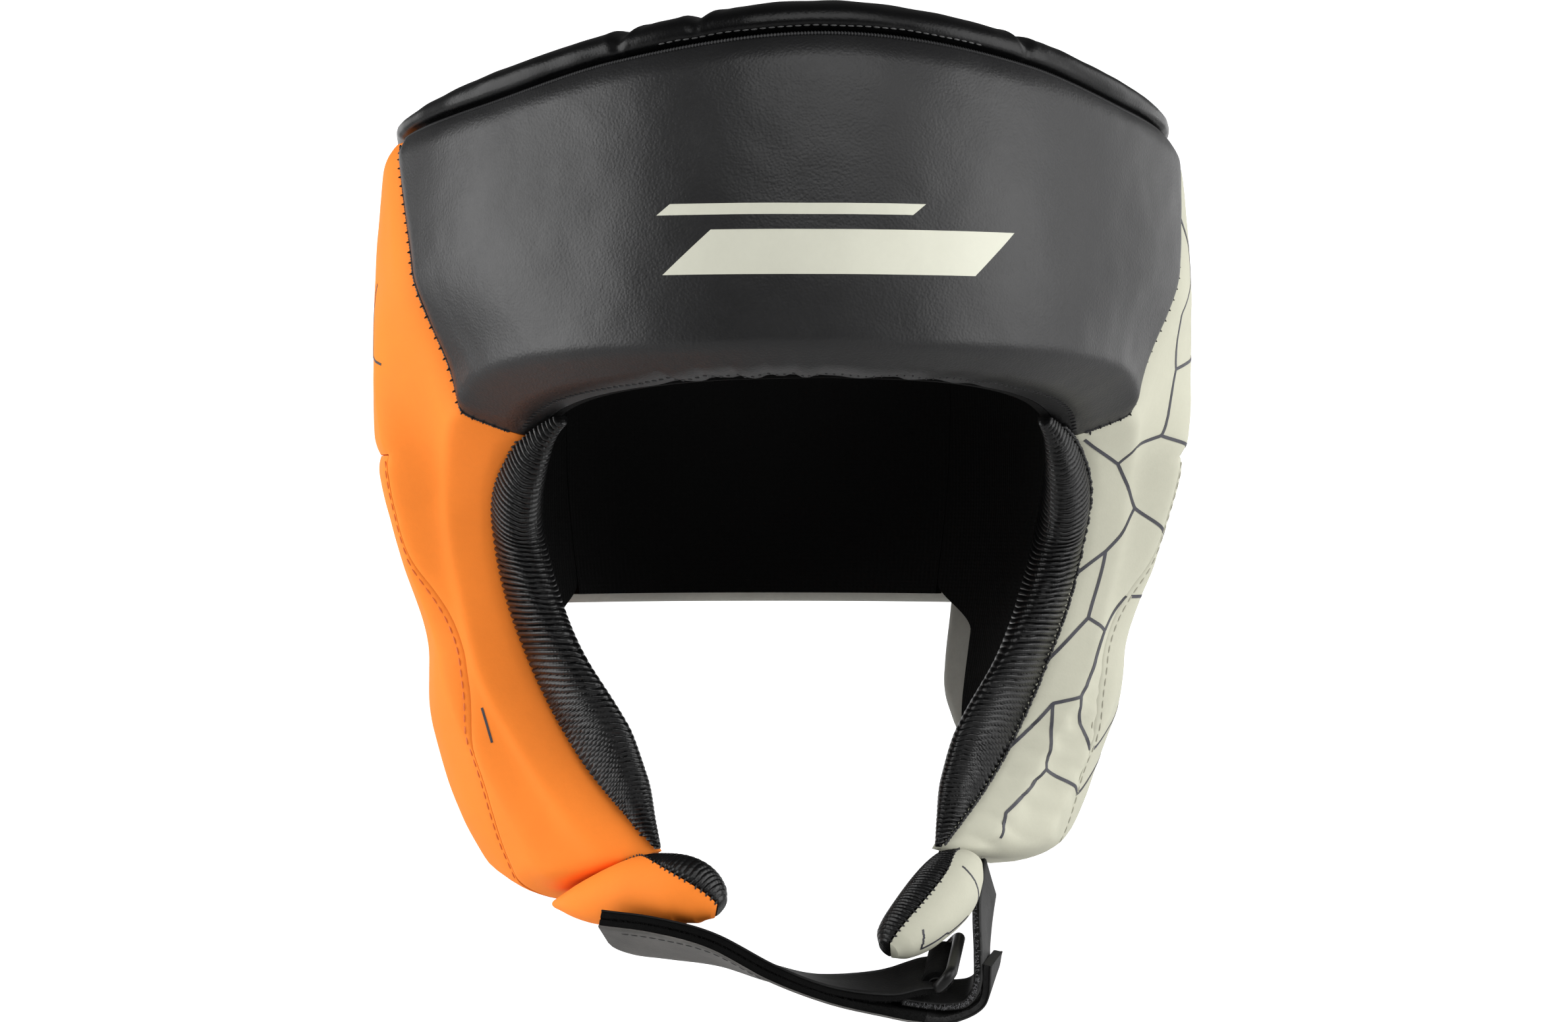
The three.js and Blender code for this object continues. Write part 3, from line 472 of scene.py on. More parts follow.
def drawn_in(turn, z, keep):
    """The grid with its borders drawn in by half the gap between pieces."""
    padded = np.pad(keep, 1).astype(int)
    nw, ne, sw, se = padded[:-1, :-1], padded[:-1, 1:], padded[1:, :-1], padded[1:, 1:]
    down, onward = np.sign(sw + se - nw - ne), np.sign(ne + se - nw - sw)
    rows, columns = np.indices(turn.shape)
    point = hollow(turn, z)[0]
    new_turn, new_z = turn.copy(), z.copy()
    for di, dj in ((down, 0 * down), (0 * onward, onward)):
        i = np.clip(rows + di, 0, turn.shape[0] - 1)
        j = np.clip(columns + dj, 0, turn.shape[1] - 1)
        share = GAP / 2 / np.maximum(np.linalg.norm(point[i, j] - point, axis=-1), 1e-6)
        share = np.where((di != 0) | (dj != 0), np.minimum(share, 0.6), 0)
        new_turn += (turn[i, j] - turn) * share
        new_z += (z[i, j] - z) * share
    return new_turn, new_z


# How deep and how wide the face dips at each kind of seam, and how far a free edge rounds off.
DIPS = {"rim": (2.6, 7), "seam": (2.4, 8), "stitch": (0.6, 3.5), "ear": (1.3, 6)}
FREE_ROUND, FREE_MIDDLE = 8, 0.34
EDGE_ROUND, EDGE_LEFT = 4.5, 0.55
# A hem's radius, and the share of the thickness left at it.
HEMS = {"right": (4, 0.82), "left": (8, 0.55)}
# How far the painted shade, a darker copy of the vinyl on the inner face, reaches in from a free edge, and the height
# and size of the lumps on pads and linings.
PAINTED_SHADE_REACH = 30
PAD_LUMPS, LINING_LUMPS = ((0.35, 21), (0.2, 8)), ((0.3, 24), (0.12, 9))
LINING_FACE = 0.25


def rounded(distance, radius):
    return np.sqrt(1 - np.clip(1 - distance / radius, 0, 1) ** 2)


def lumpy(face, flat, lumps):
    for height, size in lumps:
        face = face + height * noise(flat / size)
    return face


def pad(name, turn, z, keep, lines, mat, mirrored=False, slim=0, more=None, loose=1, hem=(4, 0.8), painted_shade_mat=None):
    """loose is 1 where a free edge rounds off fully, 0 where it is a hem with its own radius and share left.
    The material given last, when there is one, is a darker copy of the vinyl: painted shade on the inner face near a
    free edge."""
    turn, z = drawn_in(turn, z, keep)
    outer, to_edge = outer_face(turn, z, slim)
    inner = np.full_like(outer, LINING + GAP)
    flat = shell(turn, z, outer)
    for kind, (depth, width) in DIPS.items():
        if kind in lines:
            d = nearest(flat, flat[lines[kind]])[0]
            outer = outer - depth * np.clip(1 - d / width, 0, 1) ** 2
    outer = lumpy(outer, flat, PAD_LUMPS)
    if more:
        outer = outer + more(turn, z, flat, to_edge)
    if "edge" in lines:
        d = nearest(flat, flat[lines["edge"]])[0]
        outer = inner + (outer - inner) * lerp(EDGE_LEFT, 1, rounded(d, EDGE_ROUND))
    joined = np.zeros(turn.shape, bool)
    if "free" in lines:
        loose = np.broadcast_to(loose, turn.shape)
        joined[lines["free"]] = loose[lines["free"]] > 0.999
        d = nearest(flat, flat[lines["free"]])[0]
        round_off = rounded(d, FREE_ROUND)
        hemmed = inner + (outer - inner) * lerp(hem[1], 1, rounded(d, hem[0]))
        middle = lerp(inner, outer, FREE_MIDDLE)
        outer = lerp(hemmed, middle + (outer - middle) * round_off, loose)
        inner = lerp(inner, middle + (inner - middle) * round_off, loose)
    OUTER_FACES[name] = shell(turn, z, outer)
    points = np.concatenate([OUTER_FACES[name].reshape(-1, 3), shell(turn, z, inner).reshape(-1, 3)])
    faces = facing_out(points, panel_faces(keep, joined))
    mats, index = [mat], None
    if painted_shade_mat:
        mats = [mat, painted_shade_mat]
        # Faces on the inner face near the free edge get the darker copy: painted shade.
        in_painted_shade = np.concatenate([joined.ravel(), (d < PAINTED_SHADE_REACH).ravel()])
        index = [int(all(in_painted_shade[k] for k in f)) for f in faces]
    make(name + "_cover", points, faces, mats, [name], mirrored, index)


def lining(name, turn, z, mirrored=False):
    keep = whole(turn)
    turn, z = drawn_in(turn, z, keep)
    flat = shell(turn, z, 0 * z)
    inner = lumpy(LINING_FACE, flat, LINING_LUMPS)
    points = np.concatenate([shell(turn, z, 0 * z + LINING).reshape(-1, 3), shell(turn, z, inner).reshape(-1, 3)])
    faces = facing_out(points, panel_faces(keep, np.zeros(turn.shape, bool)))
    make(name + "_cover", points, faces, [BLACK], [name], mirrored)


def lines_of(**named):
    """The grid places of each kind of line, from its parts' rows and columns."""
    lines = {}
    for kind, parts in named.items():
        pairs = [np.broadcast_arrays(np.atleast_1d(rows), np.atleast_1d(columns)) for rows, columns in parts]
        lines[kind] = tuple(np.concatenate(part) for part in zip(*pairs))
    return lines


# The forehead pad, with small pleats where its lower edge is gathered: each one's place and depth.
PLEATS = ((-27, 1.0), (-21, 0.7), (-15.5, 1.2), (-10.5, 0.8), (-6, 1.1), (-1.5, 0.6), (14, 0.5))
PLEAT_LEAN, PLEAT_CLOSE, PLEAT_WIDE, PLEAT_REACH = 0.12, 1.7, 0.9, 5
SWELL_SHARE, SWELL_AWAY, SWELL_WIDE = 0.5, 2.2, 1.6
EDGE_WAVE, EDGE_WAVE_TURNS, EDGE_WAVE_START = 0.3, 0.62, 0.8
NOTCH_SHARE, NOTCH_WIDE, NOTCH_REACH = 0.8, 1.2, 0.05


def pleats(turn, z, flat, to_edge):
    crease = 0
    for at, depth in PLEATS:
        away = (turn - at - PLEAT_LEAN * to_edge) * PLEAT_CLOSE
        crease = crease - depth * bell(away, PLEAT_WIDE) + SWELL_SHARE * depth * bell(away - SWELL_AWAY, SWELL_WIDE)
    return crease * bell(to_edge, PLEAT_REACH) + 0.12 * noise(flat / 11)


def drawn_up(turn, down):
    """How far the lower edge is drawn up where it is gathered."""
    up = EDGE_WAVE * (1 + np.sin(EDGE_WAVE_TURNS * turn + EDGE_WAVE_START)) * smooth(40 - np.abs(turn), 4, 12)
    for at, depth in PLEATS:
        up = up + NOTCH_SHARE * depth * bell(turn - at, NOTCH_WIDE)
    return up * bell(1 - down, NOTCH_REACH)


ROWS, COLUMNS = 72, 190
down, across = np.meshgrid(spread(ROWS), 2 * spread(COLUMNS) - 1, indexing="ij")
turn, z = forehead_place(down, across)
r, c = np.arange(ROWS + 1), np.arange(COLUMNS + 1)
pad(
    "forehead_pad", turn, z + drawn_up(turn, down), whole(turn),
    lines_of(rim=[(0, c)], seam=[(r, 0), (r, COLUMNS)], edge=[(ROWS, c)]),
    CHARCOAL, more=pleats,
)
lining("forehead_lining", turn[::2, ::2], z[::2, ::2])

# The back pad.
UPPER, LOWER, COLUMNS = 56, 36, 120
LINING_UPPER, LINING_LOWER, LINING_COLUMNS, LINING_EDGE_AT = 30, 12, 60, 0.375
rows = np.concatenate([spread(UPPER), 1 + BACK_EDGE_AT * spread(LOWER)[1:]])
turn, z = back_place(*np.meshgrid(rows, spread(COLUMNS), indexing="ij"))
r, c = np.arange(UPPER + LOWER + 1), np.arange(COLUMNS + 1)
# The inner face near its lower free edge gets the darker bone copy: painted shade.
pad(
    "back_pad", turn, z, whole(turn),
    lines_of(rim=[(0, c)], seam=[(r, 0), (r, COLUMNS)], free=[(UPPER + LOWER, c)]),
    BONE, painted_shade_mat=SHADED_BONE,
)
rows = np.concatenate([spread(LINING_UPPER), 1 + np.linspace(0, LINING_EDGE_AT, LINING_LOWER + 1)[1:]])
lining("back_lining", *back_place(*np.meshgrid(rows, spread(LINING_COLUMNS), indexing="ij")))

# The side and ear pads with their lining.
UPPER, LOWER, CHEEK, EAR, BACK_ROW = 62, 96, 44, 56, 40
low_rows = np.concatenate([BACK_EDGE_AT * spread(BACK_ROW), lerp(BACK_EDGE_AT, 1, spread(LOWER - BACK_ROW))[1:]])
side_rows = np.concatenate([spread(UPPER), 1 + low_rows[1:]])
side_columns = np.concatenate([spread(CHEEK), 1 + spread(EAR)[1:]])
SIDE_DOWN, SIDE_ACROSS = np.meshgrid(side_rows, side_columns, indexing="ij")
LAST_ROW, LAST_COLUMN = UPPER + LOWER, CHEEK + EAR
cell_row, cell_column = np.indices((LAST_ROW, LAST_COLUMN))
ON_SIDE = (cell_row < UPPER) | (cell_column < CHEEK)
# The lining stops short of the ear pad's free edge, from a round corner down, and of the tip at the chin.
LINING_SHORT = 0.25 * smooth(np.clip(SIDE_DOWN - 1, 0, 1), 0.34, 0.47)
LINING_BACK = 0.3 * smooth(SIDE_DOWN, 1.86, 2)
LINING_ACROSS = np.where(
    SIDE_ACROSS > 1, 1 + (SIDE_ACROSS - 1) * (1 - LINING_SHORT), lerp(LINING_BACK, 1, SIDE_ACROSS)
)
GATHER, GATHER_REACH, GATHER_PITCH, GATHER_LEAN, GATHER_LEVEL = 1.5, 17, 0.55, 0.6, 0.6


def puckers(turn, z, flat, to_edge):
    low = smooth(-z, 72, 100)
    fold = np.abs(np.sin((z + GATHER_LEAN * to_edge) * GATHER_PITCH + 1.6 * noise(flat / 11)))
    gathers = GATHER * low * (fold - GATHER_LEVEL) * bell(to_edge, GATHER_REACH)
    return gathers + 0.2 * noise(flat / [9, 9, 26])


def soft(turn, z, flat, to_edge):
    return 0.3 * noise(flat / [14, 14, 40])


for side, mat, _, slot, _ in SIDES:
    mirrored = side == "right"
    jaw = JAWS[side]
    # The bone side's ear pad gets the darker bone copy near its free edge: painted shade.
    more, painted_shade_mat = (soft, None) if mirrored else (puckers, SHADED_BONE)
    turn, z = side_place(SIDE_DOWN, SIDE_ACROSS, jaw)
    upper, lower = np.arange(UPPER + 1), np.arange(UPPER, LAST_ROW + 1)
    cheek, ear = np.arange(CHEEK + 1), np.arange(CHEEK, LAST_COLUMN + 1)
    pad(
        f"side_pad_{side}", turn, z, ON_SIDE,
        lines_of(
            rim=[(0, np.arange(LAST_COLUMN + 1))],
            seam=[(upper, 0), (upper, LAST_COLUMN)],
            ear=[(UPPER, ear)],
            stitch=[(lower, CHEEK)],
            edge=[(lower, 0)],
            free=[(LAST_ROW, cheek)],
        ),
        mat, mirrored, jaw[2], more, loose=smooth(SIDE_ACROSS, 0.45, 0.98), hem=HEMS[side],
    )
    r, c = np.arange(LOWER + 1), np.arange(EAR + 1)
    ear_turn, ear_z = turn[UPPER:, CHEEK:], z[UPPER:, CHEEK:]
    pad(
        f"ear_pad_{side}", ear_turn, ear_z, whole(ear_turn),
        lines_of(
            ear=[(0, c)],
            stitch=[(r, 0)],
            seam=[(r[: BACK_ROW + 1], EAR)],
            free=[(r[BACK_ROW:], EAR), (LOWER, c)],
        ),
        mat, mirrored, jaw[2], soft, painted_shade_mat=painted_shade_mat,
    )
    lining(f"side_lining_{side}", *side_place(SIDE_DOWN, LINING_ACROSS, jaw), mirrored)


# Rolls, flaps and straps are lofted through sections.
def loft_faces(rings, sides, joined=False):
    faces = []
    spans = rings if joined else rings - 1
    for i in range(spans):
        here, there = i * sides, ((i + 1) % rings) * sides
        for j in range(sides):
            k = (j + 1) % sides
            faces.append([here + j, here + k, there + k, there + j])
    if not joined:
        faces.append(list(range(sides))[::-1])
        faces.append(list(range((rings - 1) * sides, rings * sides)))
    return faces


def loft(name, rings, mats, joined=False, mirrored=False, mat_of_side=None, sharp=SHARP):
    """The cover of the named node. Where the sides have their own materials, the ends have the last one."""
    count, sides = rings.shape[:2]
    points = rings.reshape(-1, 3)
    faces = facing_out(points, loft_faces(count, sides, joined))
    index = None
    if mat_of_side is not None:
        spans = count if joined else count - 1
        along_side = np.broadcast_to(mat_of_side, (spans, sides)).ravel()
        index = np.concatenate([along_side, np.full(len(faces) - spans * sides, len(mats) - 1)])
    make(name + "_cover", points, faces, mats, [name], mirrored, index, sharp)


def power(value, exponent):
    return np.sign(value) * np.abs(value) ** exponent


# The crown roll: glossy and pinched by folds, with fine wrinkles that run out of them: each one's place and share.
CROWN_RINGS, CROWN_SIDES = 900, 40
WRINKLES = ((0, 1), (2.4, -0.5), (-2.8, -0.6), (4.6, 0.35))
WRINKLE_DEEP, WRINKLE_WIDE = 3.6, 0.8
turn = np.linspace(-180, 180, CROWN_RINGS, endpoint=False)[:, None]
angle = around(CROWN_SIDES)[None, :]
base = rim(turn) + 2 * GAP
tall = rim(turn, "roll")
pinch, wrinkle = 1 + 0 * turn, 0 * turn * angle
for at, depth in CROWN_FOLDS:
    pinch = pinch - depth * np.exp(-2 * ((turn - at) / CROWN_FOLD_SPREAD) ** 2)
    for shift, share in WRINKLES:
        lean = shift * (0.6 + 0.4 * np.sin(angle))
        wrinkle = wrinkle - WRINKLE_DEEP * depth * share * bell(turn - at - lean, WRINKLE_WIDE)
wrinkle = wrinkle * (0.4 + 0.6 * np.clip(np.sin(angle), 0, 1))
half_out = (full_pad(turn, base) - CROWN_INSET) / 2
reach = half_out + half_out * power(np.cos(angle), CROWN_ACROSS) * lerp(1, pinch, CROWN_FOLD_IN)
height = base + tall / 2 * pinch * (1 + power(np.sin(angle), CROWN_UP))
turn = np.broadcast_to(turn, reach.shape)
rings = shell(turn, height, reach)
out = hollow(turn, height)[1]
ripple = 0.35 * noise(rings / [9, 9, 30]) + 0.5 * noise(rings / 30)
lift = np.stack([0 * reach, 0 * reach, np.sin(angle) + 0 * reach], -1)
rings = rings + (out * np.cos(angle)[..., None] + lift) * (wrinkle + ripple)[..., None]
loft("crown_roll", rings, [GLOSS], joined=True)


# The ribbed rolls of the face opening.
def ribs(distance, jitter, pitch, depth):
    return depth * (np.abs(np.sin(np.pi * (distance / pitch + jitter))) ** 0.6 - 1)


def rib_jitter(distance, length, sideways):
    """An uneven shift of the ribs along and across a roll."""
    distance, sideways = np.broadcast_arrays(distance, sideways)
    return 0.5 * noise(np.stack([distance / length, 2 * sideways, 0 * sideways], -1))


def travelled(points):
    step = np.linalg.norm(np.diff(points, axis=0), axis=-1)
    return np.concatenate([[0], np.cumsum(step)])


def face_roll_path(share):
    start = brow(FACE_ROLL_START)
    z = lerp(start, CHIN_END_Z, share**ROLL_CROWDING)
    return along(OPENING, z, "turn"), z, along(OPENING, z, "wall")


def face_roll_frame(share):
    turn, z, wall = face_roll_path(share)
    before, after = face_roll_path(np.maximum(share - 0.01, 0)), face_roll_path(np.minimum(share + 0.01, 1))
    out = hollow(turn, z)[1]
    way = unit(hollow(after[0], after[1])[0] - hollow(before[0], before[1])[0])
    return turn, z, wall, out, way, unit(np.cross(way, out))


ROLL_RINGS, ROLL_SIDES, ROLL_SHOWS = 1100, 36, 0.15
# The ribs' pitch and depth, the bulge from which they are full, and how far and where they run level.
RIB, RIB_DEEP, RIB_FULL, RIB_LEVEL, LEVEL_FROM, LEVEL_TO = 1.7, 0.8, 3.5, 0.85, 52, 85
share = np.linspace(ROLL_SHOWS, 1, 4000)
turn, z, wall = face_roll_path(share)
length = travelled(shell(turn, z, wall))
share = np.interp(np.linspace(0, length[-1], ROLL_RINGS), length, share)
turn, z, wall, out, way, into = face_roll_frame(share)
bulge = along(FACE_ROLL, share, "bulge")[:, None]
outer = (wall + along(FACE_ROLL, share, "outer"))[:, None]
inner = -along(FACE_ROLL, share, "inner")[:, None]
angle = np.radians(np.linspace(-90, 90, ROLL_SIDES))[None, :]
across = ROLL_CLEAR + bulge * np.cos(angle) ** ROLL_SQUARENESS
offset = lerp(inner, outer, (1 + np.sin(angle)) / 2)
rings = shell(turn[:, None] + 0 * offset, z[:, None] + 0 * offset, offset) + into[:, None, :] * across[..., None]
sideways, outward = np.cos(angle) * (outer - inner) / 2, np.sin(angle) * bulge
normal = unit(into[:, None, :] * sideways[..., None] + out[:, None, :] * outward[..., None])
distance = travelled(shell(turn, z, (outer[:, 0] + inner[:, 0]) / 2) + into * bulge / 2)[:, None]
jitter = rib_jitter(distance, 7, np.sin(angle))
level = smooth(-z, LEVEL_FROM, LEVEL_TO) * into[:, 2] / np.minimum(way[:, 2], -0.3)
rib = ribs(distance + RIB_LEVEL * level[:, None] * across, jitter, RIB, 1)
rib = rib * (RIB_DEEP * np.minimum(1, bulge / RIB_FULL)) * lerp(0.3, 1.3, smooth(angle, -0.9, 0.9))
ROLL_EDGE = rings[:, -1]
rings = rings + normal * rib[..., None]
for side in ("right", "left"):
    loft(
        f"face_roll_{side}", rings, [RIBBED], mirrored=side == "right",
        sharp=RIB_SHARP,
    )


# The chin flaps: a vinyl half and a ribbed half round one oval section.
FLAP_RINGS, FLAP_RIBBED_RINGS, FLAP_SIDES = 260, 440, 26
FLAP_RIB, FLAP_RIB_DEEP, FLAP_RIB_FULL = 1.15, 0.5, 7


def flap(rows, ribbed):
    at = 0.5 - 0.5 * np.cos(np.pi * np.linspace(0, 1, FLAP_RIBBED_RINGS if ribbed else FLAP_RINGS))
    turn, z, offset, tall, thick = (along(rows, at, name) for name in ("turn", "z", "offset", "tall", "thick"))
    out = hollow(turn, z)[1]

    def place(t):
        return hollow(along(rows, t, "turn"), along(rows, t, "z"))[0]

    way = unit(place(at + 0.01) - place(at - 0.01))
    up = unit(np.cross(way, out))
    seam = np.radians(along(rows, at, "seam"))[:, None]
    under = math.radians(FLAP_UNDERSIDE)
    start, stop = (under - 2 * np.pi + 0 * seam, seam) if ribbed else (seam, under + 0 * seam)
    aside = (start + stop) / 2
    centre = shell(turn, z, offset) + GAP * (up * np.cos(aside) + out * np.sin(aside))
    angle = lerp(start, stop, np.linspace(0, 1, FLAP_SIDES)[None, :])[..., None]
    spoke = up[:, None] * np.cos(angle) * tall[:, None, None] + out[:, None] * np.sin(angle) * thick[:, None, None]
    rings = centre[:, None] + spoke
    ease = np.sin(np.linspace(0, np.pi, FLAP_SIDES))[None, :]
    if ribbed:
        distance = travelled(centre)[:, None]
        relief = ribs(distance, rib_jitter(distance, 6, ease), FLAP_RIB, FLAP_RIB_DEEP)
        relief = relief * np.minimum(1, tall / FLAP_RIB_FULL)[:, None]
    else:
        relief = 0.25 * noise(rings / 9) * ease
    return rings + unit(spoke) * relief[..., None]


for side, mat, _, slot, _ in SIDES:
    mirrored = side == "right"
    loft(f"chin_flap_{side}", flap(FLAPS[side], False), [mat], mirrored=mirrored)
    loft(
        f"flap_roll_{side}", flap(FLAPS[side], True), [RIBBED], mirrored=mirrored,
        sharp=RIB_SHARP,
    )


# The straps: a vinyl layer and a fuzzy layer that stands up to its neighbour, the vinyl with rounded edges.
STRAP_SEAM, FUZZ_HIGH, SECTION_STEPS = -0.22, 0.38, 11
STRAP_RINGS, INNER_RINGS, TAB_RINGS, RING_SIDES = 260, 220, 180, 20
ROUTES = {}


def strap_frame(route, at):
    last = len(route["x"]) - 1
    rows = {"index": np.arange(last + 1.0), **route}

    def column(share, name):
        return along(rows, share * last, name)

    def place(share):
        return np.stack([column(share, name) for name in "xyz"], -1)

    way = unit(place(at + 0.01) - place(at - 0.01))
    across = unit(np.stack([column(at, "slew"), -1 + 0 * at, column(at, "rise")], -1))
    face = unit(np.cross(across, way))
    lift = column(at, "lift") if "lift" in route else 0 * at
    return place(at), across, face, lift


def strap_section(width, thick, vinyl_up):
    """Points round a strap's section, sideways and upwards, and which of its sides are fuzzy."""
    half, low, seam, high = width / 2, -thick / 2, STRAP_SEAM * thick, thick / 2 + FUZZ_HIGH
    vinyl = [(half - 0.25, low), (half, low + 0.25), (half, seam - 0.2), (half - 0.2, seam - 0.04)]
    fuzzy = [(half - 0.5, seam + 0.04), (half - 0.3, high - 0.4), (half - 0.9, high)]
    right = vinyl + fuzzy
    bottom = [(x, low) for x in np.linspace(-half + 0.25, half - 0.25, SECTION_STEPS)[1:-1]]
    top = [(x, high) for x in np.linspace(half - 0.9, -half + 0.9, SECTION_STEPS)[1:-1]]
    points = right + top + [(-x, y) for x, y in right[::-1]] + bottom
    is_fuzzy = [0, 0, 0, 1, 1, 1] + [1] * (len(top) + 1) + [1, 1, 1, 0, 0, 0] + [0] * (len(bottom) + 1)
    points = np.array(points)
    if vinyl_up:
        points = points * [1, -1]
    return points, np.array(is_fuzzy)


def strap(name, point, across, face, width, thick, vinyl_up, mats, corner=0, dark_from=1):
    """corner is the radius that rounds the rear corner of the strap's first end. Past the share dark_from the
    whole section has the last material."""
    section, fuzzy = strap_section(width, thick, vinyl_up)
    sideways = np.repeat(section[None, :, 0], len(point), axis=0)
    if corner:
        left = np.clip(1 - travelled(point) / corner, 0, 1)
        limit = width / 2 - corner * (1 - np.sqrt(1 - left**2))
        sideways = np.where(sideways < 0, sideways * (limit / (width / 2))[:, None], sideways)
    rings = point[:, None] + across[:, None] * sideways[..., None] + face[:, None] * section[None, :, 1, None]
    fray = 0.5 * noise(rings / 2.2) * np.clip((np.abs(section[:, 0]) - width / 2 + 1.5) / 1.5, 0, 1)[None, :]
    wave = 0.1 * noise(rings / 14)
    rings = rings + face[:, None] * wave[..., None] + across[:, None] * (0.4 * fray)[..., None]
    past = np.linspace(0, 1, len(point) - 1)[:, None] > dark_from
    mat_of_side = np.where(past, len(mats) - 1, fuzzy[None, :])
    loft(name, rings, mats, mat_of_side=mat_of_side, sharp=STRAP_SHARP)
    ROUTES[name] = point, across, face


# Past 0.7 of its length, down to the ring, the chin strap's grey vinyl is given the dark material: painted shade.
route = strap_frame(CHIN_ROUTE, np.linspace(0, 1, STRAP_RINGS))[:3]
strap("chin_strap", *route, STRAP_WIDTH, STRAP_THICK, False, [STRAP, FUZZ, DARK_STRAP_AND_SHADE], corner=10, dark_from=0.7)

point, across, face, lift = strap_frame(CHIN_ROUTE, np.linspace(0, INNER_STRAP_END, INNER_RINGS))
point = point + face * lift[:, None]
way = point[-1] - point[-2]
way = unit(way - across[-1] * np.dot(way, across[-1]))
last_face = unit(np.cross(across[-1], way))
turn_radius = RING_BAR / 2 + GAP + STRAP_THICK / 2
axis = point[-1] + last_face * turn_radius
bend = np.linspace(0, np.pi, 25)[1:, None]
outward = -last_face * np.cos(bend) + way * np.sin(bend)
turned = axis + outward * turn_radius
end = turned[-1] - way * STRAP_RETURN
RING_FRAME = (axis, across[-1], way, last_face)
point = np.concatenate([point, turned, [end]])
face = np.concatenate([face[:-1], [last_face], -outward, [-outward[-1]]])
across = np.concatenate([across, np.repeat(across[-1:], len(turned) + 1, axis=0)])
strap("inner_strap", point, across, face, STRAP_WIDTH, STRAP_THICK, True, [DARK_STRAP_AND_SHADE, FUZZ])

route = strap_frame(TAB_ROUTE, np.linspace(0, 1, TAB_RINGS))[:3]
strap("strap_tab", *route, TAB_WIDTH, TAB_THICK, False, [TAB, DARK_STRAP_AND_SHADE], dark_from=0.42)

# The ring: a round bar along a rectangle with round corners.
axis, across, way, face = RING_FRAME
tilt = math.radians(RING_TILT)
reach = way * math.cos(tilt) + face * math.sin(tilt)
normal = unit(np.cross(across, reach))
half_long = (RING_INSIDE + RING_BAR) / 2
rings = []
for side, far, start in ((1, 0, 180), (1, 1, 90), (-1, 1, 0), (-1, 0, -90)):
    for turned in np.radians(start - np.linspace(0, 90, 10)):
        outward = reach * math.cos(turned) + across * math.sin(turned)
        middle = axis + reach * (RING_REACH - RING_CORNER if far else RING_CORNER)
        middle = middle + across * side * (half_long - RING_CORNER) + outward * RING_CORNER
        angle = around(RING_SIDES)[:, None]
        rings.append(middle + RING_BAR / 2 * (outward * np.cos(angle) + normal * np.sin(angle)))
loft("strap_ring", np.array(rings), [PLASTIC], joined=True)


# Stitches, fibres and print follow paths that are laid on the covers.
# Each thread's pitch, half length, radius and lift.
THREADS = {
    "forehead_seam": (3.2, 0.95, 0.32, 0.15), "forehead_welt": (0.9, 0.7, 0.5, 0), "brow": (2.2, 0.8, 0.28, 0.1),
    "crown_welt": (0.9, 0.7, 0.75, 0), "crown": (2.4, 0.85, 0.26, 0.15), "topstitch": (3.3, 1.15, 0.27, 0.02),
    "roll": (1.8, 0.8, 0.42, 0.1), "cord": (1.3, 0.85, 0.52, 0.3), "flap": (1.8, 0.65, 0.3, 0.1),
    "strap": (2.6, 0.95, 0.2, 0.06),
}
PROBE, SPINDLE_TAPER, PRINT_LIFT, PRINT_SUNK = 0.4, 0.65, 0.12, 0.25


def on_cover(node, points):
    found = [TREES[node + "_cover"].find_nearest(Vector(p))[:2] for p in points]
    return np.array([f[0] for f in found]), np.array([f[1] for f in found])


def sampled(points, distance):
    length = travelled(points)
    return np.stack([np.interp(distance, length, column) for column in points.T], -1)


def evenly(points, kind):
    """Places at a thread's pitch along a path, and the path's direction there."""
    pitch = THREADS[kind][0]
    at = np.arange(pitch / 2, travelled(points)[-1], pitch)
    return sampled(points, at), unit(sampled(points, at + PROBE) - sampled(points, at - PROBE))


def spindles(name, middle, way, half, radius, mat, rings=5, sides=6):
    """Threads: small bodies that lie along their own direction and taper at both ends."""
    side = unit(np.cross(way, [0.31, 0.52, 0.79]))
    up = np.cross(side, way)
    t = np.linspace(-1, 1, rings)[None, :, None, None]
    angle = around(sides)[None, None, :, None]
    girth = radius * (1 - SPINDLE_TAPER * np.abs(t) ** 3)
    half = np.broadcast_to(half, (len(middle),))[:, None, None, None]
    way, side, up = (v[:, None, None, :] for v in (way, side, up))
    points = middle[:, None, None, :] + way * half * t + girth * (side * np.cos(angle) + up * np.sin(angle))
    one = facing_out(points[0].reshape(-1, 3) - middle[0], loft_faces(rings, sides))
    faces = [[k + n * rings * sides for k in f] for n in range(len(middle)) for f in one]
    make(name, points.reshape(-1, 3), faces, [mat])


def sewn(name, kind, place, out, way, mat, rings=5):
    _, half, radius, lift = THREADS[kind]
    spindles(name, place + out * lift, way, half, radius, mat, rings)


def sew_on(name, kind, node, path, mat, slant=None):
    """A row of stitches laid on a cover, along the path or, where a slant is given, across it."""
    place, way = evenly(path, kind)
    place, out = on_cover(node, place)
    sewn(name, kind, place, out, way if slant is None else unit(np.cross(way, out) + slant * way), mat)


def ribbons_on(node, paths, width):
    """A flat printed line along each path, laid on a cover."""
    points, faces = [], []
    for path in paths:
        end = travelled(path)[-1]
        place, out = on_cover(node, sampled(path, np.linspace(0, end, max(int(2 * end), 2) + 1)))
        half = unit(np.cross(unit(np.gradient(place, axis=0)), out)) * width / 2
        low, high = out * PRINT_SUNK, out * PRINT_LIFT
        rings = np.stack([place - half - low, place + half - low, place + half + high, place - half + high], 1)
        one = facing_out(rings.reshape(-1, 3) - place.mean(0), loft_faces(len(rings), 4))
        start = sum(len(p) for p in points)
        faces += [[k + start for k in f] for f in one]
        points.append(rings.reshape(-1, 3))
    make(node + "_print", np.concatenate(points), faces, [PRINT])


def face_point(turn, z, slim=0):
    return shell(turn, z, outer_face(turn, z, slim)[0]), hollow(turn, z)[1]


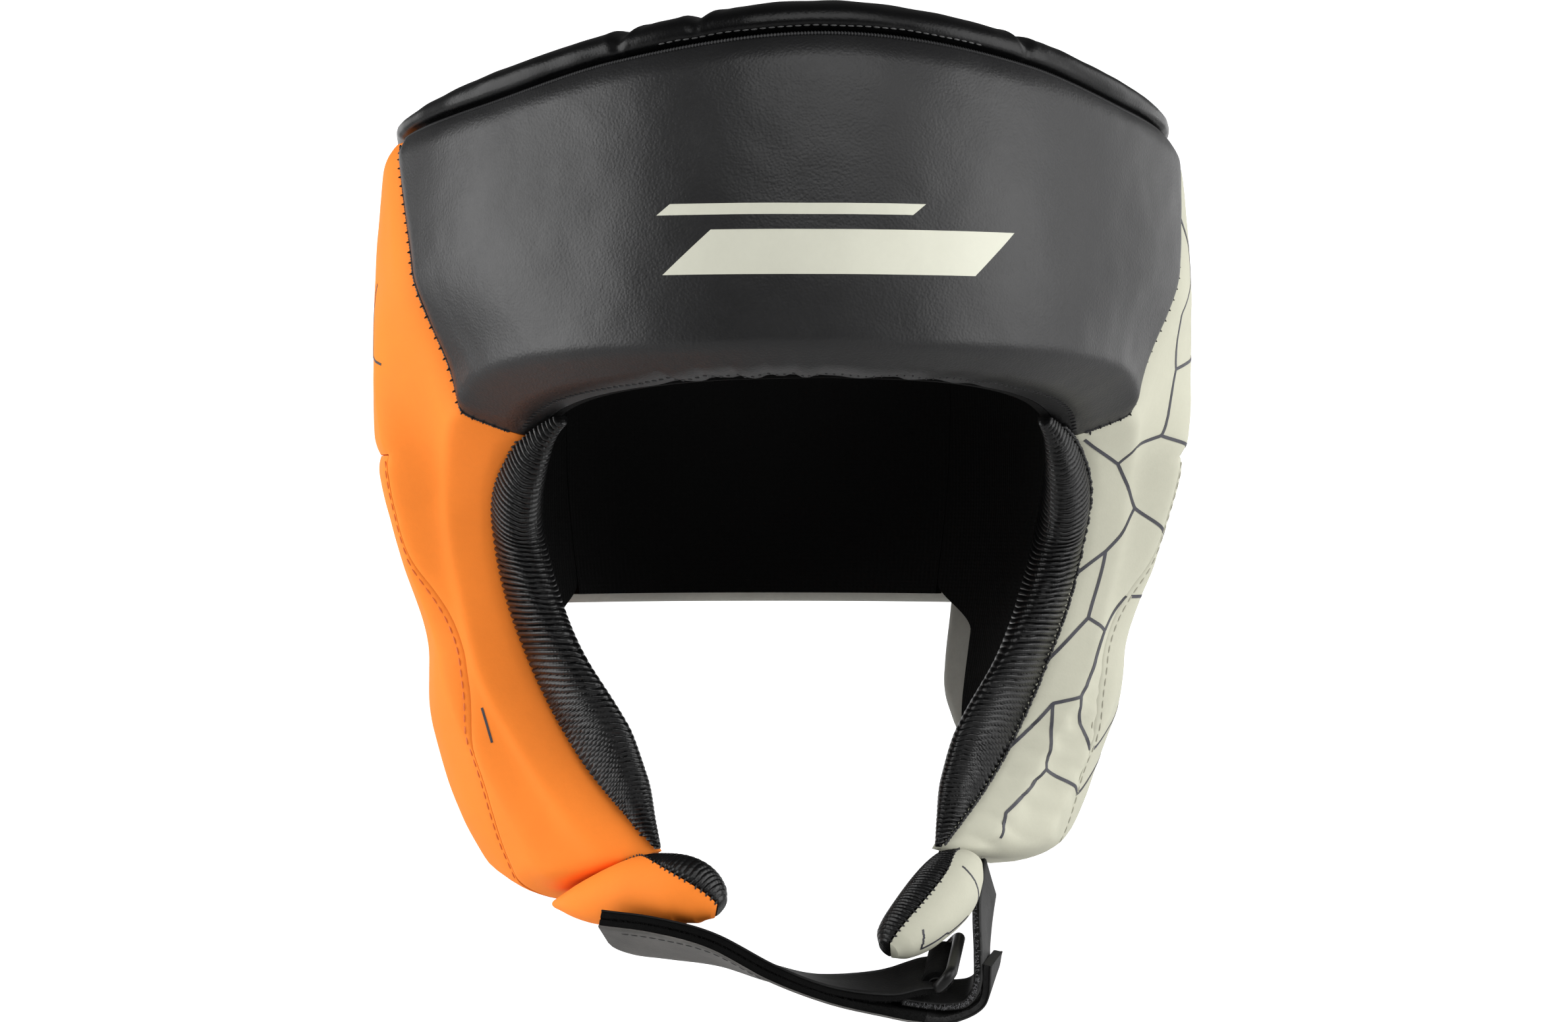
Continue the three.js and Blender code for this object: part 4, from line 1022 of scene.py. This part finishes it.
# Threads of the two forehead seams and the brow's edge, and the roll's seam above them.
t = np.linspace(0.02, 0.985, 300)
for side, _, _, _, mirror in SIDES:
    turn, z = forehead_place(t, mirror[0] + 0 * t)
    seam, out = face_point(turn, z)
    seam = seam - out * DIPS["seam"][0]
    place, way = evenly(seam, "forehead_seam")
    out = on_cover(f"side_pad_{side}", place)[1]
    aside = unit(np.cross(out, way))
    aside = aside * np.sign(aside[:, :1] * mirror[0])
    place = on_cover(f"side_pad_{side}", place + aside * 0.5)[0]
    sewn(f"forehead_seam_{side}", "forehead_seam", place, out, unit(aside + 0.25 * way), THREAD)
    place, way = evenly(seam, "forehead_welt")
    sewn(f"forehead_welt_{side}", "forehead_welt", place, 0, way, THREAD, 3)

turn = np.linspace(-64, 64, 500)
edge = shell(turn, brow(turn) - 0.2, brow(turn, "wall") * 0.8)
sew_on("brow_stitches", "brow", "forehead_pad", edge, THREAD, 0.35)

turn = np.linspace(-84, 84, 600)
seam = shell(turn, rim(turn) + 0.3, full_pad(turn, 80 + 0 * turn) - CROWN_INSET - 1)
place, way = evenly(seam, "crown_welt")
sewn("crown_welt", "crown_welt", place, 0, way, THREAD, 3)
turn = np.linspace(-27, 25, 300)
seam = shell(turn, rim(turn) + 1.4, full_pad(turn, 90 + 0 * turn) - CROWN_INSET)
sew_on("crown_stitches", "crown", "crown_roll", seam, GREY_THREAD)

# The double row of topstitching between cheek and ear pads, and the stitches that hold the ribbed rolls.
TOPSTITCH_ASIDE = {"side_pad": -1.5, "ear_pad": 1.5}
t = np.linspace(0.01, 0.97, 300)
for side, _, mat, slot, mirror in SIDES:
    jaw = JAWS[side]
    seam = face_point(*side_place(1 + t, 1 + 0 * t, jaw), jaw[2])[0]
    place, way = evenly(seam * mirror, "topstitch")
    aside = unit(np.cross([0, -1.0, 0], way)) * mirror[0]
    for node, shift in TOPSTITCH_ASIDE.items():
        spot, out = on_cover(f"{node}_{side}", place + aside * shift)
        sewn(f"{node}_{side}_topstitch", "topstitch", spot, out, way, mat)
    face = (OUTER_FACES[f"side_pad_{side}"] * mirror)[UPPER + 2 : -8]
    length, pitch = travelled(face[:, 2]), THREADS["roll"][0]
    index = np.unique(np.searchsorted(length, np.arange(pitch / 2, length[-1], pitch)))
    aside = unit(face[:, 5] - face[:, 0])[index]
    place, out = on_cover(f"side_pad_{side}", face[index, 2])
    lean = unit(aside + RANDOM.normal(0, 0.12, aside.shape))
    sewn(f"face_roll_{side}_stitches", "roll", place, out, lean, THREAD)

# The cord in the left roll's seam.
place, way = evenly(ROLL_EDGE[60:-6], "cord")
out = on_cover("face_roll_left", place)[1]
sewn("face_roll_left_cord", "cord", place, out, unit(way + 0.35 * out), THREAD, 4)

# The flaps' seams.
for side, _, _, slot, mirror in SIDES:
    seam = flap(FLAPS[side], False)[30:-12, 0] * mirror
    sew_on(f"chin_flap_{side}_stitches", "flap", f"chin_flap_{side}", seam, THREAD, 0.3)


# Hook-and-loop fibres stand out along the straps' edges, and stitches run along the strap's free end.
FIBRE_RADIUS, FIBRE_LONG, FRAY_LONG, FIBRES, FRAYED, FIBRES_FROM = 0.09, 0.75, 0.7, 1500, 420, 6


def fibres(name, edge, across, face, count, long, mat):
    at = RANDOM.uniform(0, len(edge) - 1.001, count)
    low = at.astype(int)
    middle = lerp(edge[low], edge[low + 1], (at - low)[:, None])
    way = unit(across[low] + face[low] * RANDOM.normal(0, 1.0, (count, 1)) + RANDOM.normal(0, 0.5, (count, 3)))
    middle = middle + face[low] * RANDOM.uniform(-0.5, 0.5, (count, 1))
    spindles(name, middle, way, RANDOM.uniform(0.3, 1, count) * long, FIBRE_RADIUS, mat, 3, 4)


half = STRAP_WIDTH / 2
for name, count, up in (("chin_strap", STRAP_RINGS, 0.9), ("inner_strap", INNER_RINGS, -0.9)):
    point, across, face = (v[FIBRES_FROM:count] for v in ROUTES[name])
    for end, way in (("front", 1), ("rear", -1)):
        edge = point + across * way * (half - 0.7) + face * up
        fibres(f"{name}_{end}_fibres", edge, across * way, face, FIBRES, FIBRE_LONG, FUZZ_FIBRE)
point, across, face = ROUTES["strap_tab"]
edge = point + across * (TAB_WIDTH / 2 + 0.2)
fibres("strap_tab_fray", edge, across, face, FRAYED, FRAY_LONG, FRAY)
point, across, _ = ROUTES["chin_strap"]
at = np.interp(np.linspace(5.5, 46, 120), travelled(point), np.arange(len(point)))
row = (point + across * (half - 2.4))[np.round(at).astype(int)] - [0, 0, 4]
sew_on("chin_strap_stitches", "strap", "chin_strap", row, GREY_THREAD)

# Printed lines: a net of uneven cells on the bone side, a few short strokes on the orange one.
NET = (
    ((0.26, 0.02), (0.42, 0.34), (0.58, 0.22), (0.74, 0.60), (0.60, 1.30)),
    ((0.74, 0.60), (0.95, 0.74), (1.05, 0.36), (1.01, 0.03)),
    ((0.95, 0.74), (0.99, 1.30)),
    ((1.05, 0.36), (1.15, 0.62), (1.20, 0.99)),
    ((1.15, 0.62), (1.27, 0.30), (1.34, 0.02)),
    ((1.27, 0.30), (1.43, 0.40), (1.45, 0.76), (1.36, 0.99)),
    ((1.43, 0.40), (1.55, 0.02)),
    ((1.45, 0.76), (1.61, 0.58), (1.64, 0.28), (1.80, 0.04)),
    ((1.61, 0.58), (1.73, 0.99)),
    ((1.64, 0.28), (1.80, 0.52), (1.86, 0.99)),
    ((1.80, 0.52), (1.91, 0.30), (1.965, 0.34)),
)
FLAP_LINES = (((0.30, 50), (0.33, 95), (0.36, 150)), ((0.86, 70), (0.90, 118), (0.72, 122), (0.50, 128)))
STROKES = (
    ((0.46, 0.72), (0.52, 0.98), (0.68, 1.02), (0.72, 0.80)),
    ((1.62, 0.80), (1.70, 0.74)),
)
EAR_NET = (
    ((1.20, 1.01), (1.24, 1.20), (1.36, 1.16), (1.44, 1.36), (1.38, 1.60)),
    ((1.36, 1.01), (1.36, 1.16)),
    ((1.44, 1.36), (1.58, 1.28), (1.73, 1.01)),
    ((1.58, 1.28), (1.72, 1.44), (1.86, 1.01)),
)


def laid(lines, side):
    mirror = (-1 if side == "right" else 1, 1, 1)
    paths = []
    for corners in lines:
        corners = np.array(corners)
        down, across = sampled(corners, np.linspace(0, travelled(corners)[-1], 80)).T
        paths.append(face_point(*side_place(down, across, JAWS[side]), JAWS[side][2])[0] * mirror)
    return paths


def laid_on_flap(lines, rings):
    """Lines given by the share along the flap and the angle round it, in degrees from where its print begins."""
    paths = []
    for corners in lines:
        corners = np.array(corners)
        length = travelled(corners / [0.02, 1])
        at = np.linspace(0, length[-1], 60)
        on, angle = (np.interp(at, length, column) for column in corners.T)
        last_ring, last_spoke = len(rings) - 1, rings.shape[1] - 1
        ring = np.round(np.arccos(1 - 2 * on) / np.pi * last_ring).astype(int)
        spoke = np.round((angle - 30) / 170 * last_spoke).astype(int)
        paths.append(rings[np.clip(ring, 0, last_ring), np.clip(spoke, 0, last_spoke)])
    return paths


NET_WIDE, FLAP_LINE_WIDE, STROKE_WIDE = 1.0, 0.6, 0.7
ribbons_on("side_pad_left", laid(NET, "left"), NET_WIDE)
ribbons_on("ear_pad_left", laid(EAR_NET, "left"), NET_WIDE)
ribbons_on("chin_flap_left", laid_on_flap(FLAP_LINES, flap(FLAPS["left"], False)), FLAP_LINE_WIDE)
ribbons_on("side_pad_right", laid(STROKES, "right"), STROKE_WIDE)


# A plain pale design over the brow: one wide level band with slanted ends and a thin line above it.
BAND_ROWS, BAND_COLUMNS, BAND_LIFT, BAND_SUNK = 14, 120, 0.07, 0.2


def band(name, left, right, low, high, slant):
    up, on = np.meshgrid(np.linspace(0, 1, BAND_ROWS + 1), np.linspace(0, 1, BAND_COLUMNS + 1), indexing="ij")
    turn = lerp(left, right, on) + slant * (up - 0.5)
    z = lerp(low, high, up)
    place, out = on_cover("forehead_pad", face_point(turn, z)[0].reshape(-1, 3))
    points = np.concatenate([place + BAND_LIFT * out, place - BAND_SUNK * out])
    faces = facing_out(points, panel_faces(whole(turn), np.zeros(turn.shape, bool)))
    make(name, points, faces, [PALE_PRINT])


band("brow_band", -21, 24, 27, 39, 7)
band("brow_line", -24.5, 12, 43, 46, 2)

# Studio: a pale floor that curves up and glows behind, and soft boxes on both sides.
FLOOR, FLOOR_EDGES, FLOOR_STEPS = -0.45, (-3.2, 3.6), 60
SWEEP = table(
    "y height",
    (-3.2, 0), (2.6, 0), (3.1, 0.02), (3.4, 0.07), (3.65, 0.18), (3.85, 0.4), (3.95, 0.7), (4.0, 1.3),
)
FLOOR_LOOK = {
    "Base Color": (0.7, 0.7, 0.7, 1), "Roughness": 0.9, "Specular IOR Level": 0.1, "Emission Color": (1, 1, 1, 1)
}
GLOW_BEGINS, GLOW_FULL, WORLD_LIGHT, LIGHTS_AIM = 2.2, 2.65, 0.1, Vector((0, 0, -0.05))
# Each box's place, width, height and watts.
BOXES = {
    "left_box": ((-1.22, 0.0, 0.12), 1.0, 1.2, 17), "right_box": ((1.12, -0.52, 0.18), 1.0, 1.2, 15.5),
    "rear_box": ((1.15, 0.55, 0.1), 0.7, 1.2, 4.5), "front_box": ((0.1, -1.8, 1.35), 2.0, 1.3, 26),
}
rows = np.arange(len(SWEEP["y"]))
t = np.linspace(0, rows[-1], FLOOR_STEPS)
y, height = (np.interp(t, rows, SWEEP[name]) for name in ("y", "height"))
points = [(x, a, b) for a, b in zip(y, height + FLOOR) for x in FLOOR_EDGES]
mesh = bpy.data.meshes.new("backdrop")
mesh.from_pydata(points, [], [(2 * k, 2 * k + 1, 2 * k + 3, 2 * k + 2) for k in range(len(y) - 1)])
mesh.shade_smooth()
mat, shader, put, node = new_material("pale_floor")
for name, value in FLOOR_LOOK.items():
    put(shader[name], value)
axes = node("SeparateXYZ", node("TexCoord").outputs["Object"])
glow = node("MapRange", axes.outputs["Y"], From_Min=GLOW_BEGINS, From_Max=GLOW_FULL, To_Min=0, To_Max=1)
put(shader["Emission Strength"], glow.outputs["Result"])
mesh.materials.append(mat)
drop = added("backdrop", mesh)

for name, (place, width, height, watts) in BOXES.items():
    light = bpy.data.lights.new(name, "AREA")
    light.shape, light.size, light.size_y, light.energy = "RECTANGLE", width, height, watts
    lamp = added(name, light)
    lamp.location = place
    lamp.rotation_euler = (LIGHTS_AIM - Vector(place)).to_track_quat("-Z", "Y").to_euler()
world = bpy.data.worlds.new("studio")
bpy.context.scene.world = world
world.use_nodes = True
background = world.node_tree.nodes["Background"].inputs
background["Color"].default_value = (1, 1, 1, 1)
background["Strength"].default_value = WORLD_LIGHT
